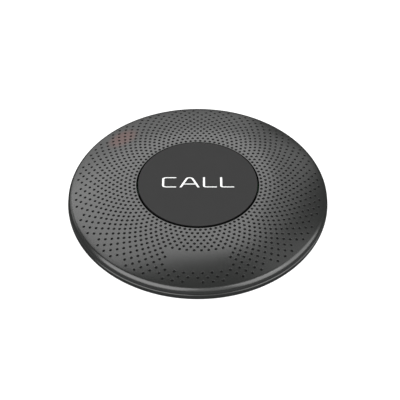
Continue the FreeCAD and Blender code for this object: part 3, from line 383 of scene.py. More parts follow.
@dataclass(frozen=True)
class Finish:
    """A real material: what it is called, its colour and how much it shines."""

    name: str
    colour: str
    roughness: float
    metallic: float = 0.0
    shine: float = 0.5              # specular level
    grain: float = 0.2 * MM         # width of the surface's grain
    grain_depth: float = 0.004 * MM
    grain_detail: float = 2.0       # octaves of noise in the grain
    patch: float = 9.0 * MM         # width of the patches in which its colour varies
    patch_shift: float = 0.06       # how far a patch's colour departs, as a share
    patch_detail: float = 1.0       # octaves of noise in the patches

    def material(self) -> bpy.types.Material:
        """Builds the material, unless an earlier piece has built it.

        Returns:
            The material.
        """
        made = bpy.data.materials.get(self.name)
        if made is None:
            made = bpy.data.materials.new(self.name)
            made.use_nodes = True
            tree = made.node_tree
            shader = tree.nodes["Principled BSDF"]
            shader.inputs["Base Color"].default_value = linear(self.colour)
            shader.inputs["Roughness"].default_value = self.roughness
            shader.inputs["Metallic"].default_value = self.metallic
            shader.inputs["Specular IOR Level"].default_value = self.shine
            place = add_node(tree, "TexCoord").outputs["Object"]
            self.dress(tree, shader, place)
        return made

    def dress(self, tree: bpy.types.NodeTree, shader: bpy.types.Node, place: bpy.types.NodeSocket) -> None:
        """Adds the colour variation and the grain.

        Args:
            tree: the material's node tree.
            shader: its surface shader.
            place: the point on the piece, in metres.
        """
        tree.links.new(self.tint(tree, place), shader.inputs["Base Color"])
        noise = {"Scale": 1 / self.grain, "Detail": self.grain_detail}
        grain = add_node(tree, "TexNoise", noise, {"Vector": place})
        bump = add_node(tree, "Bump", {"Distance": self.grain_depth}, {"Height": grain.outputs["Fac"]})
        tree.links.new(bump.outputs["Normal"], shader.inputs["Normal"])

    def tint(self, tree: bpy.types.NodeTree, place: bpy.types.NodeSocket) -> bpy.types.NodeSocket:
        """Varies the colour in soft lighter and darker patches.

        Args:
            tree: the material's node tree.
            place: the point on the piece, in metres.

        Returns:
            The output that gives the colour.
        """
        noise = {"Scale": 1 / self.patch, "Detail": self.patch_detail}
        patches = add_node(tree, "TexNoise", noise, {"Vector": place})
        value = add_node(
            tree, "MapRange",
            {"To Min": 1 - self.patch_shift, "To Max": 1 + self.patch_shift},
            {"Value": patches.outputs["Fac"]},
        )
        shade = add_node(
            tree, "HueSaturation",
            {"Color": linear(self.colour)},
            {"Value": value.outputs["Result"]},
        )
        return shade.outputs["Color"]


@dataclass(frozen=True)
class PaintedGlowPlastic(Finish):
    """Moulded plastic with a painted glow at one place: emission on its surface that stands in for an
    indicator's light shining through the thinned wall.
    """

    # Painted glow: colour and strength of the emission on the case's surface where the indicator's light
    # would shine through; the case is no lamp.
    glow_colour: str = "7a2c14"
    painted_glow_strength: float = 0.32
    painted_glow_circle: float = 37.0 * MM      # circle of the case that the painted glow lies on
    painted_glow_angle: float = 136.9           # its direction, in degrees
    painted_glow_length: float = 8.6 * MM       # reach of the painted glow along the circle
    painted_glow_width: float = 5.6 * MM        # reach of the painted glow across it
    painted_glow_core: float = 0.25             # share of the reach that is evenly painted bright
    low_shine: float = 0.03             # specular level at a low angle
    low_from: float = 0.42              # Layer Weight's facing value at which the shine starts to fall
    low_to: float = 0.65                # its value at which the shine has fallen

    def dull_low_angles(self, tree: bpy.types.NodeTree, shader: bpy.types.Node) -> None:
        """Lets the gloss fall off towards a low angle, where a spark-eroded grain shades itself.

        Args:
            tree: the material's node tree.
            shader: its surface shader.
        """
        weight = add_node(tree, "LayerWeight")
        level = add_node(
            tree, "MapRange",
            {
                "From Min": self.low_from, "From Max": self.low_to,
                "To Min": self.shine, "To Max": self.low_shine,
            },
            {"Value": weight.outputs["Facing"]},
        )
        tree.links.new(level.outputs["Result"], shader.inputs["Specular IOR Level"])

    def dress(self, tree: bpy.types.NodeTree, shader: bpy.types.Node, place: bpy.types.NodeSocket) -> None:
        """Adds the grain, the duller low angles and the painted glow, emission on the surface that fades
        out from its middle.

        Args:
            tree: the material's node tree.
            shader: its surface shader.
            place: the point on the piece, in metres.
        """
        super().dress(tree, shader, place)
        self.dull_low_angles(tree, shader)
        turn = math.radians(self.painted_glow_angle)
        middle = (self.painted_glow_circle * math.cos(turn), self.painted_glow_circle * math.sin(turn), 0.0)
        away = add_node(tree, "VectorMath", {"operation": "SUBTRACT", 1: middle}, {0: place})
        turned = add_node(
            tree, "Mapping",
            {"vector_type": "POINT", "Rotation": (0, 0, -turn)},
            {"Vector": away.outputs[0]},
        )
        across = add_node(
            tree, "VectorMath",
            {"operation": "MULTIPLY", 1: (1 / self.painted_glow_width, 1 / self.painted_glow_length, 0.0)},
            {0: turned.outputs[0]},
        )
        reach = add_node(tree, "VectorMath", {"operation": "LENGTH"}, {0: across.outputs[0]})
        fade = add_node(
            tree, "MapRange",
            {
                "interpolation_type": "SMOOTHERSTEP",
                "From Min": 1.0, "From Max": self.painted_glow_core, "To Max": self.painted_glow_strength,
            },
            {"Value": reach.outputs["Value"]},
        )
        # Painted glow: the case's surface emits, standing in for the indicator's light through its wall.
        shader.inputs["Emission Color"].default_value = linear(self.glow_colour)
        tree.links.new(fade.outputs["Result"], shader.inputs["Emission Strength"])


@dataclass(frozen=True)
class LightTable(Finish):
    """Opal acrylic sheet that is lit evenly from below."""

    glow: float = 1.0               # enough to show pure white
    glow_colour: str = "ffffff"

    def dress(self, tree: bpy.types.NodeTree, shader: bpy.types.Node, place: bpy.types.NodeSocket) -> None:
        """Adds the grain and the even light of the sheet.

        Args:
            tree: the material's node tree.
            shader: its surface shader.
            place: the point on the sheet, in metres.
        """
        super().dress(tree, shader, place)
        shader.inputs["Emission Color"].default_value = linear(self.glow_colour)
        shader.inputs["Emission Strength"].default_value = self.glow


# Black ABS, moulded in a spark-eroded tool: a fine satin that spreads a lamp into a broad sheen, with a
# painted glow where the indicator sits.
CASE_ABS = PaintedGlowPlastic("satin_black_abs", "151615", 0.25)
# The same ABS on upright faces, which slide out of the tool: duller, with only a faint sheen.
SIDE_ABS = Finish("drawn_black_abs", "1a1b1b", 0.5, shine=0.2)
# The same ABS inside the dimples, where the tool's pins leave it dull.
DIMPLE_ABS = Finish("dull_black_abs", "262626", 0.9, shine=0.15)
# Untextured ABS on both walls of the gap round the key: dull, with painted shade, a near-black colour that
# stands in for the shade down in the narrow gap.
GAP_PAINTED_SHADE = Finish("gap_painted_shade_abs", "040404", 0.9, shine=0.05)
# Charcoal ABS with a coarser spark-eroded texture: even and matt, with no clear reflection.
KEY_ABS = Finish("matt_charcoal_abs", "1d1d1d", 0.85, shine=0.25, grain=0.3 * MM, grain_depth=0.006 * MM)
# Black ABS from a plainer tool: as dark as the upper case, and duller.
BASE_ABS = Finish("moulded_black_abs", "161717", 0.65, shine=0.12)
# The same ABS along the edge where the mouldings meet, where the tool is polished to close tightly.
RIM_ABS = Finish("polished_black_abs", "151615", 0.24, shine=0.4)
# White screen-printing ink: opaque, nearly matt, with a slightly uneven film.
LEGEND_INK = Finish("white_screen_ink", "c2c3c2", 0.5, grain=0.4 * MM, patch=2.0 * MM, patch_shift=0.02)
# Natural acetal of the key's guide and the cell's gasket: milky and waxy.
GUIDE_ACETAL = Finish("natural_acetal", "d9d8d0", 0.4)
# Grey silicone cord: soft, matt and slightly dusty.
SEAL_SILICONE = Finish("grey_silicone", "55585c", 0.6)
# Black styrene rubber, pressed: dull, with a dusty bloom.
FOOT_RUBBER = Finish(
    "black_foot_rubber", "161616", 0.85, grain=0.5 * MM, grain_depth=0.02 * MM, patch=3.0 * MM,
)
# Zinc-plated steel screws: bright, with a bluish cast.
SCREW_STEEL = Finish("zinc_plated_steel", "a9adb3", 0.3, metallic=1.0, patch=2.0 * MM)
# Stainless spring strip, rolled and tumbled: bright but cloudy.
SPRING_STEEL = Finish("stainless_spring_strip", "9c9a96", 0.35, metallic=1.0, patch=3.0 * MM)
# Glass-cloth laminate under green solder mask: glossy and slightly uneven from the cloth below.
BOARD_LAMINATE = Finish("green_masked_laminate", "1c5a36", 0.35, grain=0.6 * MM, grain_depth=0.01 * MM)
# Black epoxy moulding compound of the chips: fine, matt and even.
CHIP_RESIN = Finish("black_epoxy_compound", "1d1d1f", 0.65, grain=0.15 * MM)
# Sintered capacitor body: tan and dull.
CHIP_CERAMIC = Finish("tan_sintered_ceramic", "a9845c", 0.6, patch=1.0 * MM)
# Copper under a tin dip: soft white shine.
TINNED_COPPER = Finish("tinned_copper", "c4c3bd", 0.32, metallic=1.0, patch=1.5 * MM)
# Epoxy of the indicator, tinted red: smooth and glossy.
LED_RESIN = Finish("red_led_epoxy", "8c1a12", 0.15, patch=1.0 * MM)
# Clear polycarbonate of the light guide: pale and glossy.
CLEAR_PLASTIC = Finish("clear_polycarbonate", "cfd3d4", 0.1)
# Pressed and fired ferrite: dark grey and dry.
FERRITE = Finish("fired_ferrite", "2b2a2b", 0.7, grain=0.3 * MM, grain_depth=0.01 * MM)
# Nickel-plated steel of the cell and the crystal's can: smooth and bright.
CELL_STEEL = Finish("nickel_plated_steel", "b9b5ac", 0.25, metallic=1.0)
# Opal acrylic of the lit table: even, white and without gloss.
TABLE_ACRYLIC = LightTable("opal_table_acrylic", "6c6c6c", 0.7, patch=200 * MM, patch_shift=0.01)


# ---------------------------------------------------------------------------------------------
# Upper case
# ---------------------------------------------------------------------------------------------


@dataclass(frozen=True)
class DomeCurve:
    """Arc that the upper case's section follows from its crown circle down to its upright side."""

    crown_circle: float
    crown_height: float
    edge_circle: float
    edge_height: float

    @property
    def radius(self) -> float:
        """Radius of the arc, from its reach and its drop.

        Returns:
            The radius.
        """
        reach = self.edge_circle - self.crown_circle
        drop = self.crown_height - self.edge_height
        return (reach**2 + drop**2) / (2 * drop)

    def height(self, circle: float, below: float = 0.0) -> float:
        """Height at a circle of the case, on the arc or on a parallel arc that far below it."""
        reach = circle - self.crown_circle
        return self.crown_height - self.radius + math.sqrt((self.radius - below)**2 - reach**2)

    def tilt(self, circle: float, below: float = 0.0) -> float:
        """Slope in degrees at a circle of the case, on the same arcs."""
        return math.degrees(math.asin((circle - self.crown_circle) / (self.radius - below)))


@dataclass(frozen=True)
class RingGroup:
    """Neighbouring rings of dimples with one pitch."""

    rings: int
    pitch: float


@dataclass
class UpperCase:
    """Upper case moulding with the round opening for the key and its field of dimples."""

    radius: float                       # widest circle
    parting_height: float = 5.9 * MM    # where the two mouldings meet
    opening_gap: float = 0.5 * MM       # open ring round the key
    opening_round: float = 0.25 * MM
    crown_circle: float = 18.6 * MM
    crown_height: float = 12.0 * MM
    edge_height: float = 8.0 * MM
    edge_round: float = 1.8 * MM        # rounding from the dome down to round_split ...
    side_round: float = 2.5 * MM        # ... and the wider one that carries on from there
    round_split: float = 50.0           # slope in degrees where the two roundings meet
    side_inset: float = 0.15 * MM       # step of the upright side behind the lower case's rim
    side_tilt: float = 78.0             # slope in degrees from which the edge is dull like the side
    lip_normal: float = -0.2            # z of a face's normal below which it belongs to the lip
    lip_round: float = 0.35 * MM        # lower edge of the upright side
    wall: float = 1.5 * MM
    skirt_wall: float = 1.8 * MM
    divisions: int = 160
    opening_steps: int = 3              # steps of each rounding in the section
    edge_steps: int = 5
    lip_steps: int = 2
    first_ring: float = 21.9 * MM
    ring_groups: tuple[RingGroup, ...] = (
        RingGroup(3, 1.5 * MM), RingGroup(7, 1.32 * MM), RingGroup(4, 1.58 * MM),
    )
    dimple_radius: float = 0.52 * MM
    dimple_depth: float = 0.6 * MM
    dimple_rim: float = 0.03 * MM       # broken edge of a dimple
    corner_segments: int = 3            # parts of each rounded corner of a dimple's outline
    ring_slack: float = MM / 10         # how near its place a dimple's vertex lies
    plain_rings: range = range(7, 12)   # rings that leave a plain place in front
    plain_half_width: float = 9.9 * MM
    gap_step: int = 8                   # the outermost ring leaves out each dimple at this step ...
    gap_start: int = 7                  # ... from this division on
    round_profile: float = 0.08         # bevel profile that makes a corner cut round

    def build(self, key_radius: float) -> Mesh:
        """Builds the moulding.

        Args:
            key_radius: radius of the key that its opening clears.

        Returns:
            The finished piece.
        """
        self.opening = key_radius + self.opening_gap
        self.curve = DomeCurve(self.crown_circle, self.crown_height, self.radius, self.edge_height)
        self.rings = self.ring_circles()
        obj = turn_section("upper_case", self.section(), self.divisions)
        self.press_dimples(obj)
        leave_edit(obj)
        dress_faces(obj, (CASE_ABS, DIMPLE_ABS, SIDE_ABS, GAP_PAINTED_SHADE), self.finish_at)
        return hand_over(obj, "case", CASE_ABS, "top_shell")

    def finish_at(self, place: Vector, normal: Vector) -> Finish:
        """Picks the finish of a face.

        Args:
            place: middle of the face.
            normal: its normal.

        Returns:
            Its finish.
        """
        if self.in_dimple(place):
            return DIMPLE_ABS
        if self.on_side(place, normal):
            return SIDE_ABS
        # The opening's wall takes the painted shade of the gap.
        return GAP_PAINTED_SHADE if self.in_gap(place) else CASE_ABS

    def ring_circles(self) -> list[float]:
        """Works out where the dimples lie.

        Returns:
            Circles of the rings of dimples, from the inside out.
        """
        circles = [self.first_ring]
        for group in self.ring_groups:
            for _ in range(group.rings):
                circles.append(circles[-1] + group.pitch)
        return circles

    def section(self) -> list[Point]:
        """Draws the section: opening edge, dome, rounded edge, upright side and the inside.

        Returns:
            Its points, closed.
        """
        curve, upper, lower = self.curve, self.edge_round, self.side_round
        side = self.radius - self.side_inset
        round_middle = self.opening + self.opening_round
        opening_edge = (round_middle, curve.height(round_middle, self.opening_round))
        split = math.radians(self.round_split)
        edge_circle = side - lower + (lower - upper) * math.sin(split)
        edge_middle = (edge_circle, curve.height(edge_circle, upper))
        side_middle = (side - lower, edge_middle[1] - (lower - upper) * math.cos(split))
        inside = self.radius - self.skirt_wall
        corner = inside - self.wall
        outer_turn, split_turn = 90 - curve.tilt(edge_circle, upper), 90 - self.round_split
        lip_middle = (side - self.lip_round, self.parting_height + self.lip_round)
        ceiling = (corner, *self.rings[-2:2:-4])    # every fourth ring is enough for the smooth inside
        return [
            (self.opening, curve.height(self.opening, self.wall)),
            *arc(opening_edge, self.opening_round, 180, 90, self.opening_steps),
            *((circle, curve.height(circle)) for circle in self.rings),
            *arc(edge_middle, upper, outer_turn, split_turn, self.edge_steps),
            *arc(side_middle, lower, split_turn, 0, self.edge_steps)[1:],
            *arc(lip_middle, self.lip_round, 0, -90, self.lip_steps),
            (inside, self.parting_height),
            (inside, curve.height(inside, self.wall + self.skirt_wall / 2)),
            *((circle, curve.height(circle, self.wall)) for circle in ceiling),
            (self.opening, curve.height(self.opening, self.wall)),
        ]

    def press_dimples(self, obj: Mesh) -> None:
        """Cuts a round outline at every dimple's vertex and presses it in.

        Args:
            obj: turned moulding, in edit mode.
        """
        select(obj, self.is_dimple)
        bpy.ops.mesh.bevel(
            affect="VERTICES", offset=self.dimple_radius, segments=self.corner_segments,
            profile=self.round_profile, clamp_overlap=True,
        )
        bpy.ops.mesh.select_mode(type=Pick.FACES.value)
        bpy.ops.mesh.dissolve_faces()
        bpy.ops.mesh.inset(use_individual=True, thickness=self.dimple_rim, depth=-self.dimple_rim)
        bpy.ops.mesh.inset(
            use_individual=True, thickness=self.dimple_rim / 2, depth=self.dimple_rim - self.dimple_depth,
        )

    def is_dimple(self, place: Vector) -> bool:
        """Whether a vertex is the middle of a dimple: every second one, staggered from ring to ring.

        Args:
            place: the vertex's place.

        Returns:
            True where a dimple is pressed in.
        """
        circle = math.hypot(place.x, place.y)
        ring = min(range(len(self.rings)), key=lambda at: abs(self.rings[at] - circle))
        if max(abs(self.rings[ring] - circle), abs(self.curve.height(circle) - place.z)) > self.ring_slack:
            return False
        division = round(math.atan2(place.y, place.x) / FULL_TURN * self.divisions) % self.divisions
        if (division + ring) % 2 == 0:
            return False
        if ring in self.plain_rings and place.y < 0 and abs(place.x) < self.plain_half_width:
            return False
        return not (ring == len(self.rings) - 1 and division % self.gap_step == self.gap_start)

    def in_dimple(self, place: Vector) -> bool:
        """Whether a face lies inside a dimple.

        Args:
            place: the face's middle.

        Returns:
            True below a dimple's broken edge.
        """
        circle = math.hypot(place.x, place.y)
        if not self.opening + self.opening_round < circle < self.radius - self.edge_round:
            return False
        depth = self.curve.height(circle) - place.z
        return self.dimple_rim < depth < self.dimple_depth + self.dimple_rim

    def in_gap(self, place: Vector) -> bool:
        """Whether a face with this middle is part of the opening's wall."""
        return math.hypot(place.x, place.y) < self.opening + self.opening_round / 2

    def on_side(self, place: Vector, normal: Vector) -> bool:
        """Whether a face belongs to the upright side, without its lower lip."""
        outside = math.hypot(place.x, place.y) > self.radius - self.edge_round
        return outside and self.lip_normal < normal.z < math.cos(math.radians(self.side_tilt))


# ---------------------------------------------------------------------------------------------
# Key and legend
# ---------------------------------------------------------------------------------------------


@dataclass
class Pen:
    """A flat stroke of even width, drawn by extruding and spinning its end."""

    name: str
    width: float
    level: float                # height of the flat stroke
    corner_steps: int = 6
    touch: float = MM / 100     # how near the stroke's end a vertex has to be to belong to it
    heading: float = 0.0        # direction of the pen in degrees, counter-clockwise from +X
    place: Vector = Vector((0.0, 0.0, 0.0))
    obj: Mesh | None = None

    def start(self, place: Point, heading: float, run: float) -> None:
        """Lays down the first straight run.

        Args:
            place: middle of the stroke's first end.
            heading: direction of the run.
            run: its length.
        """
        self.heading = heading
        along = self.along()
        middle = Vector((*place, self.level)) + along * run / 2
        self.obj = leave_edit(flat_bar(self.name, run, self.width))
        self.obj.rotation_euler.z = math.radians(heading)
        self.obj.location = middle
        bpy.ops.object.transform_apply(location=True, rotation=True, scale=False)
        bpy.ops.object.mode_set(mode="EDIT")
        self.place = middle + along * run / 2

    def along(self) -> Vector:
        """The pen's direction as a vector."""
        turn = math.radians(self.heading)
        return Vector((math.cos(turn), math.sin(turn), 0.0))

    def take_end(self) -> None:
        """Selects the two vertices at the stroke's end."""
        along, here = self.along(), self.place.copy()
        reach = self.width / 2 + self.touch
        select(
            self.obj,
            lambda at: abs((at - here).dot(along)) < self.touch and (at - here).length < reach,
        )

    def run(self, length: float) -> None:
        """Draws on straight.

        Args:
            length: length of the run.
        """
        self.take_end()
        step = self.along() * length
        bpy.ops.mesh.extrude_region_move(TRANSFORM_OT_translate={"value": step})
        self.place = self.place + step

    def bend(self, turn: float, radius: float) -> None:
        """Draws a corner.

        Args:
            turn: change of direction in degrees, positive to the left.
            radius: radius of the stroke's middle line.
        """
        self.take_end()
        side = math.copysign(1.0, turn)
        sideways = Vector((-self.along().y, self.along().x, 0.0)) * side
        middle = self.place + sideways * radius
        bpy.ops.mesh.spin(
            steps=self.corner_steps, angle=math.radians(-turn), center=middle, axis=(0, 0, 1),
            use_auto_merge=False,
        )
        self.heading += turn
        outward = Vector((self.along().y, -self.along().x, 0.0)) * side
        self.place = middle + outward * radius

    def lift(self, thickness: float) -> Mesh:
        """Gives the flat stroke its thickness downwards.

        Args:
            thickness: thickness of the stroke.

        Returns:
            The stroke as a closed solid, out of edit mode.
        """
        close_up()
        bpy.ops.mesh.extrude_region_move(TRANSFORM_OT_translate={"value": (0.0, 0.0, -thickness)})
        close_up()
        return leave_edit(self.obj)


@dataclass
class Legend:
    """The word CALL in plain white strokes, which names what the key does.

    The letters are drawn narrow, with a pen of one width, and then set wide. That makes their upright
    strokes thicker than their level ones, as in a wide sign letter.
    """

    top: float                          # height of the ink's surface
    ink: float                          # its thickness
    spread: float = 1.9                 # how much wider the letters are set than drawn
    stroke: float = 0.36 * MM
    cap_height: float = 4.9 * MM
    c_width: float = 4.8 * MM           # the widths are those of the letters as set
    a_width: float = 6.85 * MM
    l_width: float = 4.73 * MM
    letter_gap: float = 1.18 * MM
    corner: float = 0.62 * MM           # radius of the middle line of C's corners, as drawn
    l_corner: float = 0.45 * MM
    apex: float = 0.52 * MM             # radius of the middle line of A's top
    bar_height: float = 1.6 * MM        # middle of A's bar over the base line
    middle: float = 0.11 * MM           # middle of the word, right of the key's axis
    flattest: float = 40.0              # bounds of the slope of A's legs, in degrees
    steepest: float = 88.0
    halvings: int = 40                  # of those bounds, to find the slope

    def build(self) -> Mesh:
        """Draws the four letters, joins them and sets them wide.

        Returns:
            The finished word.
        """
        widths = [self.c_width, self.a_width, self.l_width, self.l_width]
        total = sum(widths) + self.letter_gap * (len(widths) - 1)
        self.base = -self.cap_height / 2
        lefts = [self.middle - total / 2]
        for width in widths[:-1]:
            lefts.append(lefts[-1] + width + self.letter_gap)
        c_left, a_left, first_left, second_left = (left / self.spread for left in lefts)
        obj = join_all([
            self.letter_c(c_left),
            self.letter_a(a_left),
            self.letter_l(first_left, "first"),
            self.letter_l(second_left, "second"),
        ])
        obj.name = obj.data.name = "key_legend"
        obj.scale.x = self.spread
        bpy.ops.object.transform_apply(location=False, rotation=False, scale=True)
        return hand_over(obj, "key", LEGEND_INK)

    def pen(self, letter: str) -> Pen:
        """A pen for one letter, at the ink's level."""
        return Pen(f"letter_{letter}", self.stroke, self.top)

    def letter_c(self, left: float) -> Mesh:
        """Draws C: along its top from the right, down its rounded left side, along its foot.

        Args:
            left: where the letter starts.

        Returns:
            The letter.
        """
        pen, half, width = self.pen("c"), self.stroke / 2, self.c_width / self.spread
        across = width - half - self.corner
        pen.start((left + width, self.base + self.cap_height - half), 180, across)
        pen.bend(90, self.corner)
        pen.run(self.cap_height - self.stroke - 2 * self.corner)
        pen.bend(90, self.corner)
        pen.run(across)
        return pen.lift(self.ink)

    def letter_l(self, left: float, which: str) -> Mesh:
        """Draws an L: down its left side, round its corner and along its foot.

        Args:
            left: where the letter starts.
            which: word that tells the two apart.

        Returns:
            The letter.
        """
        pen, half = self.pen(f"l_{which}"), self.stroke / 2
        pen.start((left + half, self.base + self.cap_height), 270, self.cap_height - half - self.l_corner)
        pen.bend(90, self.l_corner)
        pen.run(self.l_width / self.spread - half - self.l_corner)
        return pen.lift(self.ink)

    def letter_a(self, left: float) -> Mesh:
        """Draws A: up its left leg, over its rounded top, down its right leg, and its level bar.

        Args:
            left: where the letter starts.

        Returns:
            The letter.
        """
        half = self.stroke / 2
        top = self.base + self.cap_height
        middle = left + self.a_width / self.spread / 2
        slope = self.leg_slope()
        reach = self.apex + half
        shoulder = Vector((middle - self.apex * math.sin(slope), top - reach + self.apex * math.cos(slope)))
        leg = (shoulder.y - self.base) / math.sin(slope) + 2 * self.stroke
        foot = shoulder - Vector((math.cos(slope), math.sin(slope))) * leg
        pen = self.pen("a")
        pen.start((foot.x, foot.y), math.degrees(slope), leg)
        pen.bend(-2 * math.degrees(slope), self.apex)
        pen.run(leg)
        bpy.ops.mesh.select_all(action="SELECT")
        bpy.ops.mesh.bisect(plane_co=(0.0, self.base, 0.0), plane_no=(0.0, 1.0, 0.0), clear_inner=True)
        letter = pen.lift(self.ink)
        bar_level = self.base + self.bar_height
        bar_reach = middle - shoulder.x + (shoulder.y - bar_level) / math.tan(slope)
        bar = self.pen("a_bar")
        bar.start((middle - bar_reach, bar_level), 0, 2 * bar_reach)
        combine(letter, bar.lift(self.ink), Join.ADD)
        return letter

    def leg_slope(self) -> float:
        """Finds the slope of A's legs that makes the letter as wide as it should be.

        Returns:
            The angle of the legs over the base line.
        """
        reach = self.apex + self.stroke / 2
        low, high = math.radians(self.flattest), math.radians(self.steepest)
        for _ in range(self.halvings):
            slope = (low + high) / 2
            rise = self.cap_height - reach + reach * math.cos(slope)
            width = 2 * (reach * math.sin(slope) + rise / math.tan(slope))
            if width > self.a_width / self.spread:
                low = slope
            else:
                high = slope
        return (low + high) / 2


@dataclass
class CallKey:
    """Large round key: a flat face with a softly rounded edge and a skirt into the case."""

    radius: float
    top: float                          # highest point of the key with its ink
    legend_ink: float = 0.03 * MM
    edge_round: float = 0.28 * MM
    wall: float = 1.2 * MM
    plate: float = 1.47 * MM
    skirt: float = 1.35 * MM            # depth of the skirt below the plate
    divisions: int = 144
    edge_steps: int = 5
    under_normal: float = -0.5          # z of a face's normal below which it belongs to the underside

    def build(self) -> Mesh:
        """Turns the key and prints its legend.

        Returns:
            The finished key.
        """
        level = self.top - self.legend_ink
        plate_bottom = level - self.plate
        bottom = plate_bottom - self.skirt
        inside = self.radius - self.wall
        edge_middle = (self.radius - self.edge_round, level - self.edge_round)
        section = [
            (0.0, level),
            (self.radius / 2, level),
            *arc(edge_middle, self.edge_round, 90, 0, self.edge_steps),
            (self.radius, bottom),
            (inside, bottom),
            (inside, plate_bottom),
            (0.0, plate_bottom),
        ]
        obj = turn_section("call_key_cap", section, self.divisions)
        leave_edit(obj)
        dress_faces(obj, (KEY_ABS, GAP_PAINTED_SHADE), self.finish_at)
        hand_over(obj, "key", KEY_ABS, "call_key")
        Legend(top=self.top, ink=self.legend_ink).build()
        return obj

    def finish_at(self, place: Vector, normal: Vector) -> Finish:
        """Picks the finish of a face: the wall below the rounded edge is part of the gap and takes its
        painted shade.

        Args:
            place: middle of the face.
            normal: its normal.

        Returns:
            Its finish.
        """
        below_edge = place.z < self.top - self.legend_ink - self.edge_round
        return GAP_PAINTED_SHADE if below_edge and normal.z > self.under_normal else KEY_ABS


# ---------------------------------------------------------------------------------------------
# Lower case, with what is screwed or pressed into it
# ---------------------------------------------------------------------------------------------


@dataclass
class LowerCase:
    """Lower case moulding: upright rim, sloping side and flat underside with its recesses."""

    radius: float
    underside: float                    # height of the flat underside
    tongue_top: float
    door_radius: float
    parting_height: float = 5.9 * MM
    rim_round: float = 0.55 * MM
    hull_height: float = 5.15 * MM
    hull_round: float = 3.2 * MM
    hull_inset: float = 3.04 * MM
    hull_slope: float = 45.0            # slope of the hull under its rounding, in degrees
    corner_round: float = 0.6 * MM
    floor_wall: float = 1.6 * MM
    tongue_outside: float = 43.1 * MM
    tongue_inside: float = 42.2 * MM
    slope: float = 1.6 * MM             # sloping inside corner
    door_gap: float = 0.2 * MM
    door_seat: float = 2.0 * MM         # height of the ledge over the door's flange
    ledge_top: float = 2.8 * MM
    ledge_reach: float = 1.8 * MM
    edge_break: float = 0.2 * MM        # broken edges of the recesses
    foot_recess: float = 10.3 * MM
    foot_seat: float = 1.4 * MM
    screw_recess: float = 5.4 * MM
    screw_seat: float = 2.7 * MM
    screw_hole: float = 2.8 * MM
    boss: float = 6.8 * MM
    boss_top: float = 5.0 * MM
    divisions: int = 160
    tool_divisions: int = 48
    corner_steps: int = 3               # steps of each rounding in the section
    hull_steps: int = 8
    rim_steps: int = 4
    rim_normal: float = 0.05            # z of a face's normal from which the rim is polished

    def build(self, foot_circle: float, screw_circle: float) -> Mesh:
        """Builds the moulding.

        Args:
            foot_circle: circle that the four feet lie on.
            screw_circle: circle that the four case screws lie on.

        Returns:
            The finished piece.
        """
        obj = turn_section("lower_case", self.section(), self.divisions)
        leave_edit(obj)
        floor_top = self.underside + self.floor_wall
        below = self.underside - MM
        for square in range(0, 360, QUARTER):
            between = square + QUARTER / 2
            self.cylinder(obj, Join.ADD, screw_circle, square, self.boss, floor_top - MM / 2, self.boss_top)
            self.cylinder(obj, Join.CUT, screw_circle, square, self.screw_recess, below, self.screw_seat)
            self.cylinder(obj, Join.CUT, screw_circle, square, self.screw_hole, below, self.boss_top + MM)
            self.cylinder(obj, Join.CUT, foot_circle, between, self.foot_recess, below, self.foot_seat)
        dress_faces(obj, (BASE_ABS, RIM_ABS), self.finish_at)
        return hand_over(obj, "case", BASE_ABS, "base_shell")

    def finish_at(self, place: Vector, normal: Vector) -> Finish:
        """Picks the finish of a face: the outer faces of the rim that look up are polished.

        Args:
            place: middle of the face.
            normal: its normal.

        Returns:
            Its finish.
        """
        on_rim = math.hypot(place.x, place.y) > self.tongue_outside and place.z > self.hull_height
        return RIM_ABS if on_rim and normal.z > self.rim_normal else BASE_ABS

    def cylinder(
        self, obj: Mesh, join: Join, circle: float, angle: float, diameter: float, low: float, high: float,
    ) -> None:
        """Adds or cuts an upright cylinder.

        Args:
            obj: the moulding.
            join: whether the cylinder is added or cut.
            circle: circle of the case that its axis stands on.
            angle: direction of its axis in degrees.
            diameter: its diameter.
            low: height of its lower end.
            high: height of its upper end.
        """
        radius = diameter / 2
        section = [(0, low), (radius, low), (radius, high), (0, high)]
        tool = turn_section("tool", section, self.tool_divisions)
        leave_edit(tool)
        turn = math.radians(angle)
        move_mesh(tool, (circle * math.cos(turn), circle * math.sin(turn), 0.0))
        combine(obj, tool, join)

    def section(self) -> list[Point]:
        """Draws the section, from the battery opening round the outside to the tongue and back.

        Returns:
            Its points, closed.
        """
        bore = self.door_radius + self.door_gap
        ledge = bore - self.ledge_reach
        floor_top = self.underside + self.floor_wall
        flat_end = self.radius - self.hull_inset
        tangent = self.corner_round * math.tan(math.radians(self.hull_slope / 2))
        lean = self.hull_slope - 90
        corner = (flat_end - tangent, self.underside + self.corner_round)
        hull = (self.radius - self.hull_round, self.hull_height)
        rim = (self.radius - self.rim_round, self.parting_height - self.rim_round)
        return [
            (ledge, self.door_seat),
            (bore, self.door_seat),
            (bore, self.underside + self.edge_break),
            (bore + self.edge_break, self.underside),
            *arc(corner, self.corner_round, -90, lean, self.corner_steps),
            *arc(hull, self.hull_round, lean, 0, self.hull_steps),
            *arc(rim, self.rim_round, 0, 90, self.rim_steps),
            (self.tongue_outside, self.parting_height),
            (self.tongue_outside, self.tongue_top),
            (self.tongue_inside, self.tongue_top),
            (self.tongue_inside, floor_top + self.slope),
            (self.tongue_inside - self.slope, floor_top),
            (bore, floor_top),
            (bore, self.ledge_top),
            (ledge, self.ledge_top),
            (ledge, self.door_seat),
        ]


